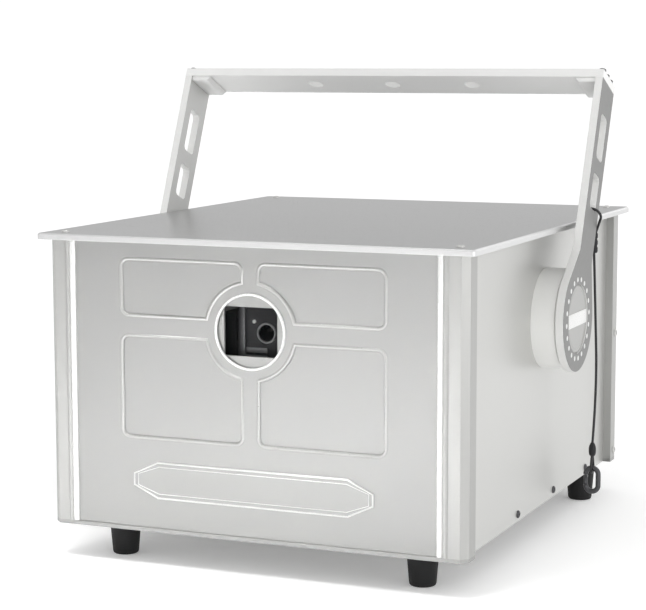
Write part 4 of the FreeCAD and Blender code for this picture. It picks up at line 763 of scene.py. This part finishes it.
# Metal shells of the control socket and the data sockets
SHELL_OUTER = (19.8, 4.5)
SHELL_INNER = (18.5, 3.2)
SHELL_CORNER = 0.4
DATA_RIM = [(9.4, 0), (9.4, 0.5), (9.7, 0.8), (10.7, 0.8), (11.1, 0.4), (11.1, 0), (9.4, 0)]
form = bmesh.new()
framed_opening(form, (CONTROL_X, ROW_Z), SHELL_OUTER, SHELL_INNER, SHELL_CORNER, LIP_TOP, CONTROL_TOP)
for x in DATA_X:
    turned(form, DATA_RIM, (x, LIP_TOP, ROW_Z), (0, 1, 0))
add_form("socket_shells", form, satin, "housing")

# Bezels of the display and the buttons
BEZEL_OUTER = (24, 11.5)
BEZEL_INNER = (20.8, 8.3)
BEZEL_CORNER = 2
BEZEL_HEIGHT = 1.2
BUTTON_RIM = [(3.5, 0), (3.5, 0.5), (3.8, 0.8), (4.5, 0.8), (4.9, 0.4), (4.9, 0), (3.5, 0)]
form = bmesh.new()
framed_opening(form, (0, DISPLAY_Z), BEZEL_OUTER, BEZEL_INNER, BEZEL_CORNER, REAR_FACE,
               REAR_FACE + BEZEL_HEIGHT)
for x, _, z in BUTTON_SPOTS:
    turned(form, BUTTON_RIM, (x, REAR_FACE, z), (0, 1, 0), steps=32)
add_form("panel_bezels", form, plastic, "housing")

# Screws of the fans and the rear sockets
FAN_SCREW = 35.75
DATA_SCREW = (9.3, 11.8)
JACK = [(0, 0), (2.7, 0), (2.7, 4.6), (2.3, 5), (1.4, 5), (1.4, 3), (0, 3)]
JACK_PLACE = 23.5
seats = [((x_sign * FAN_X + across * FAN_SCREW, REAR_FACE, FAN_Z + up * FAN_SCREW), (0, 1, 0))
         for x_sign in (1, -1) for across in (1, -1) for up in (1, -1)]
across, up = DATA_SCREW
seats += [((x + sign * across, LIP_TOP, ROW_Z + sign * up), (0, 1, 0)) for x in DATA_X for sign in (1, -1)]
form = bmesh.new()
set_heads(form, cross_head, seats)
for sign in (1, -1):
    turned(form, JACK, (CONTROL_X + sign * JACK_PLACE, LIP_TOP, ROW_Z), (0, 1, 0), steps=6)
add_form("rear_screws", form, steel, "housing")

# Sky, as heights with their light
SKY_STOPS = [(0, 0.72), (0.25, 0.76), (0.6, 0.92), (1, 1.05)]
world = bpy.data.worlds.new("studio")
scene.world = world
world.use_nodes = True
sky = world.node_tree
sky_way = shader_node(sky, "TexCoord")
sky_parts = shader_node(sky, "SeparateXYZ", {0: sky_way.outputs["Generated"]})
sky_ramp = shader_node(sky, "ValToRGB", {"Fac": sky_parts.outputs["Z"]})
stops = sky_ramp.color_ramp.elements
while len(stops) < len(SKY_STOPS):
    stops.new(0.5)
for stop, (height, light) in zip(stops, SKY_STOPS):
    stop.position = height
    stop.color = (light, light, light, 1)
sky.links.new(sky_ramp.outputs["Color"], sky.nodes["Background"].inputs["Color"])
sky.nodes["Background"].inputs["Strength"].default_value = 1

# Floor, and a white backdrop that only the camera sees
FLOOR_SIZE = 60
DOME_RADIUS = 29
bpy.ops.mesh.primitive_plane_add(size=FLOOR_SIZE)
floor = bpy.context.object
floor.name = "floor"
floor_white = surface("pale_floor", (0.92, 0.92, 0.92), 0, 0.8, grain=30, bump=0.01, cloud=0.005, edge=0,
                      shader={"Emission Color": (1, 1, 1, 1), "Emission Strength": 0.2})
floor.data.materials.append(floor_white)
floor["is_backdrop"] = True
bpy.ops.mesh.primitive_uv_sphere_add(radius=DOME_RADIUS, segments=48, ring_count=24)
dome = bpy.context.object
dome.name = "white_backdrop"
dome.visible_diffuse = False
dome.visible_glossy = False
dome.visible_transmission = False
dome.visible_shadow = False
white = bpy.data.materials.new("white_backdrop")
white.use_nodes = True
white_bsdf = white.node_tree.nodes["Principled BSDF"]
white_bsdf.inputs["Base Color"].default_value = (0, 0, 0, 1)
white_bsdf.inputs["Emission Color"].default_value = (1, 1, 1, 1)
white_bsdf.inputs["Emission Strength"].default_value = 1
dome.data.materials.append(white)
dome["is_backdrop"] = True


# Lamps, in metres and watts
def soft_light(name, spot, aim, size, power, spread=180):
    """A large square lamp turned towards a point, its light kept within an angle in degrees."""
    lamp = bpy.data.lights.new(name, "AREA")
    lamp.size = size
    lamp.energy = power
    lamp.spread = math.radians(spread)
    obj = bpy.data.objects.new(name, lamp)
    obj.location = spot
    obj.rotation_euler = (Vector(aim) - Vector(spot)).to_track_quat("-Z", "Y").to_euler()
    scene.collection.objects.link(obj)


soft_light("key", spot=(-1.3, -1.7, 2.1), aim=(0, 0, 0.15), size=2.4, power=1.2)
soft_light("pool", spot=(-0.1, -0.72, 1.1), aim=(-0.1, -0.72, 0), size=0.4, power=4.5, spread=60)
soft_light("side", spot=(2.0, -0.7, 0.45), aim=(0.15, -0.1, 0.17), size=1.3, power=9)
soft_light("rear", spot=(0.9, 2.2, 1.0), aim=(0, 0.1, 0.15), size=1.4, power=5)
scene.view_settings.view_transform = "Standard"

low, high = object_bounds()
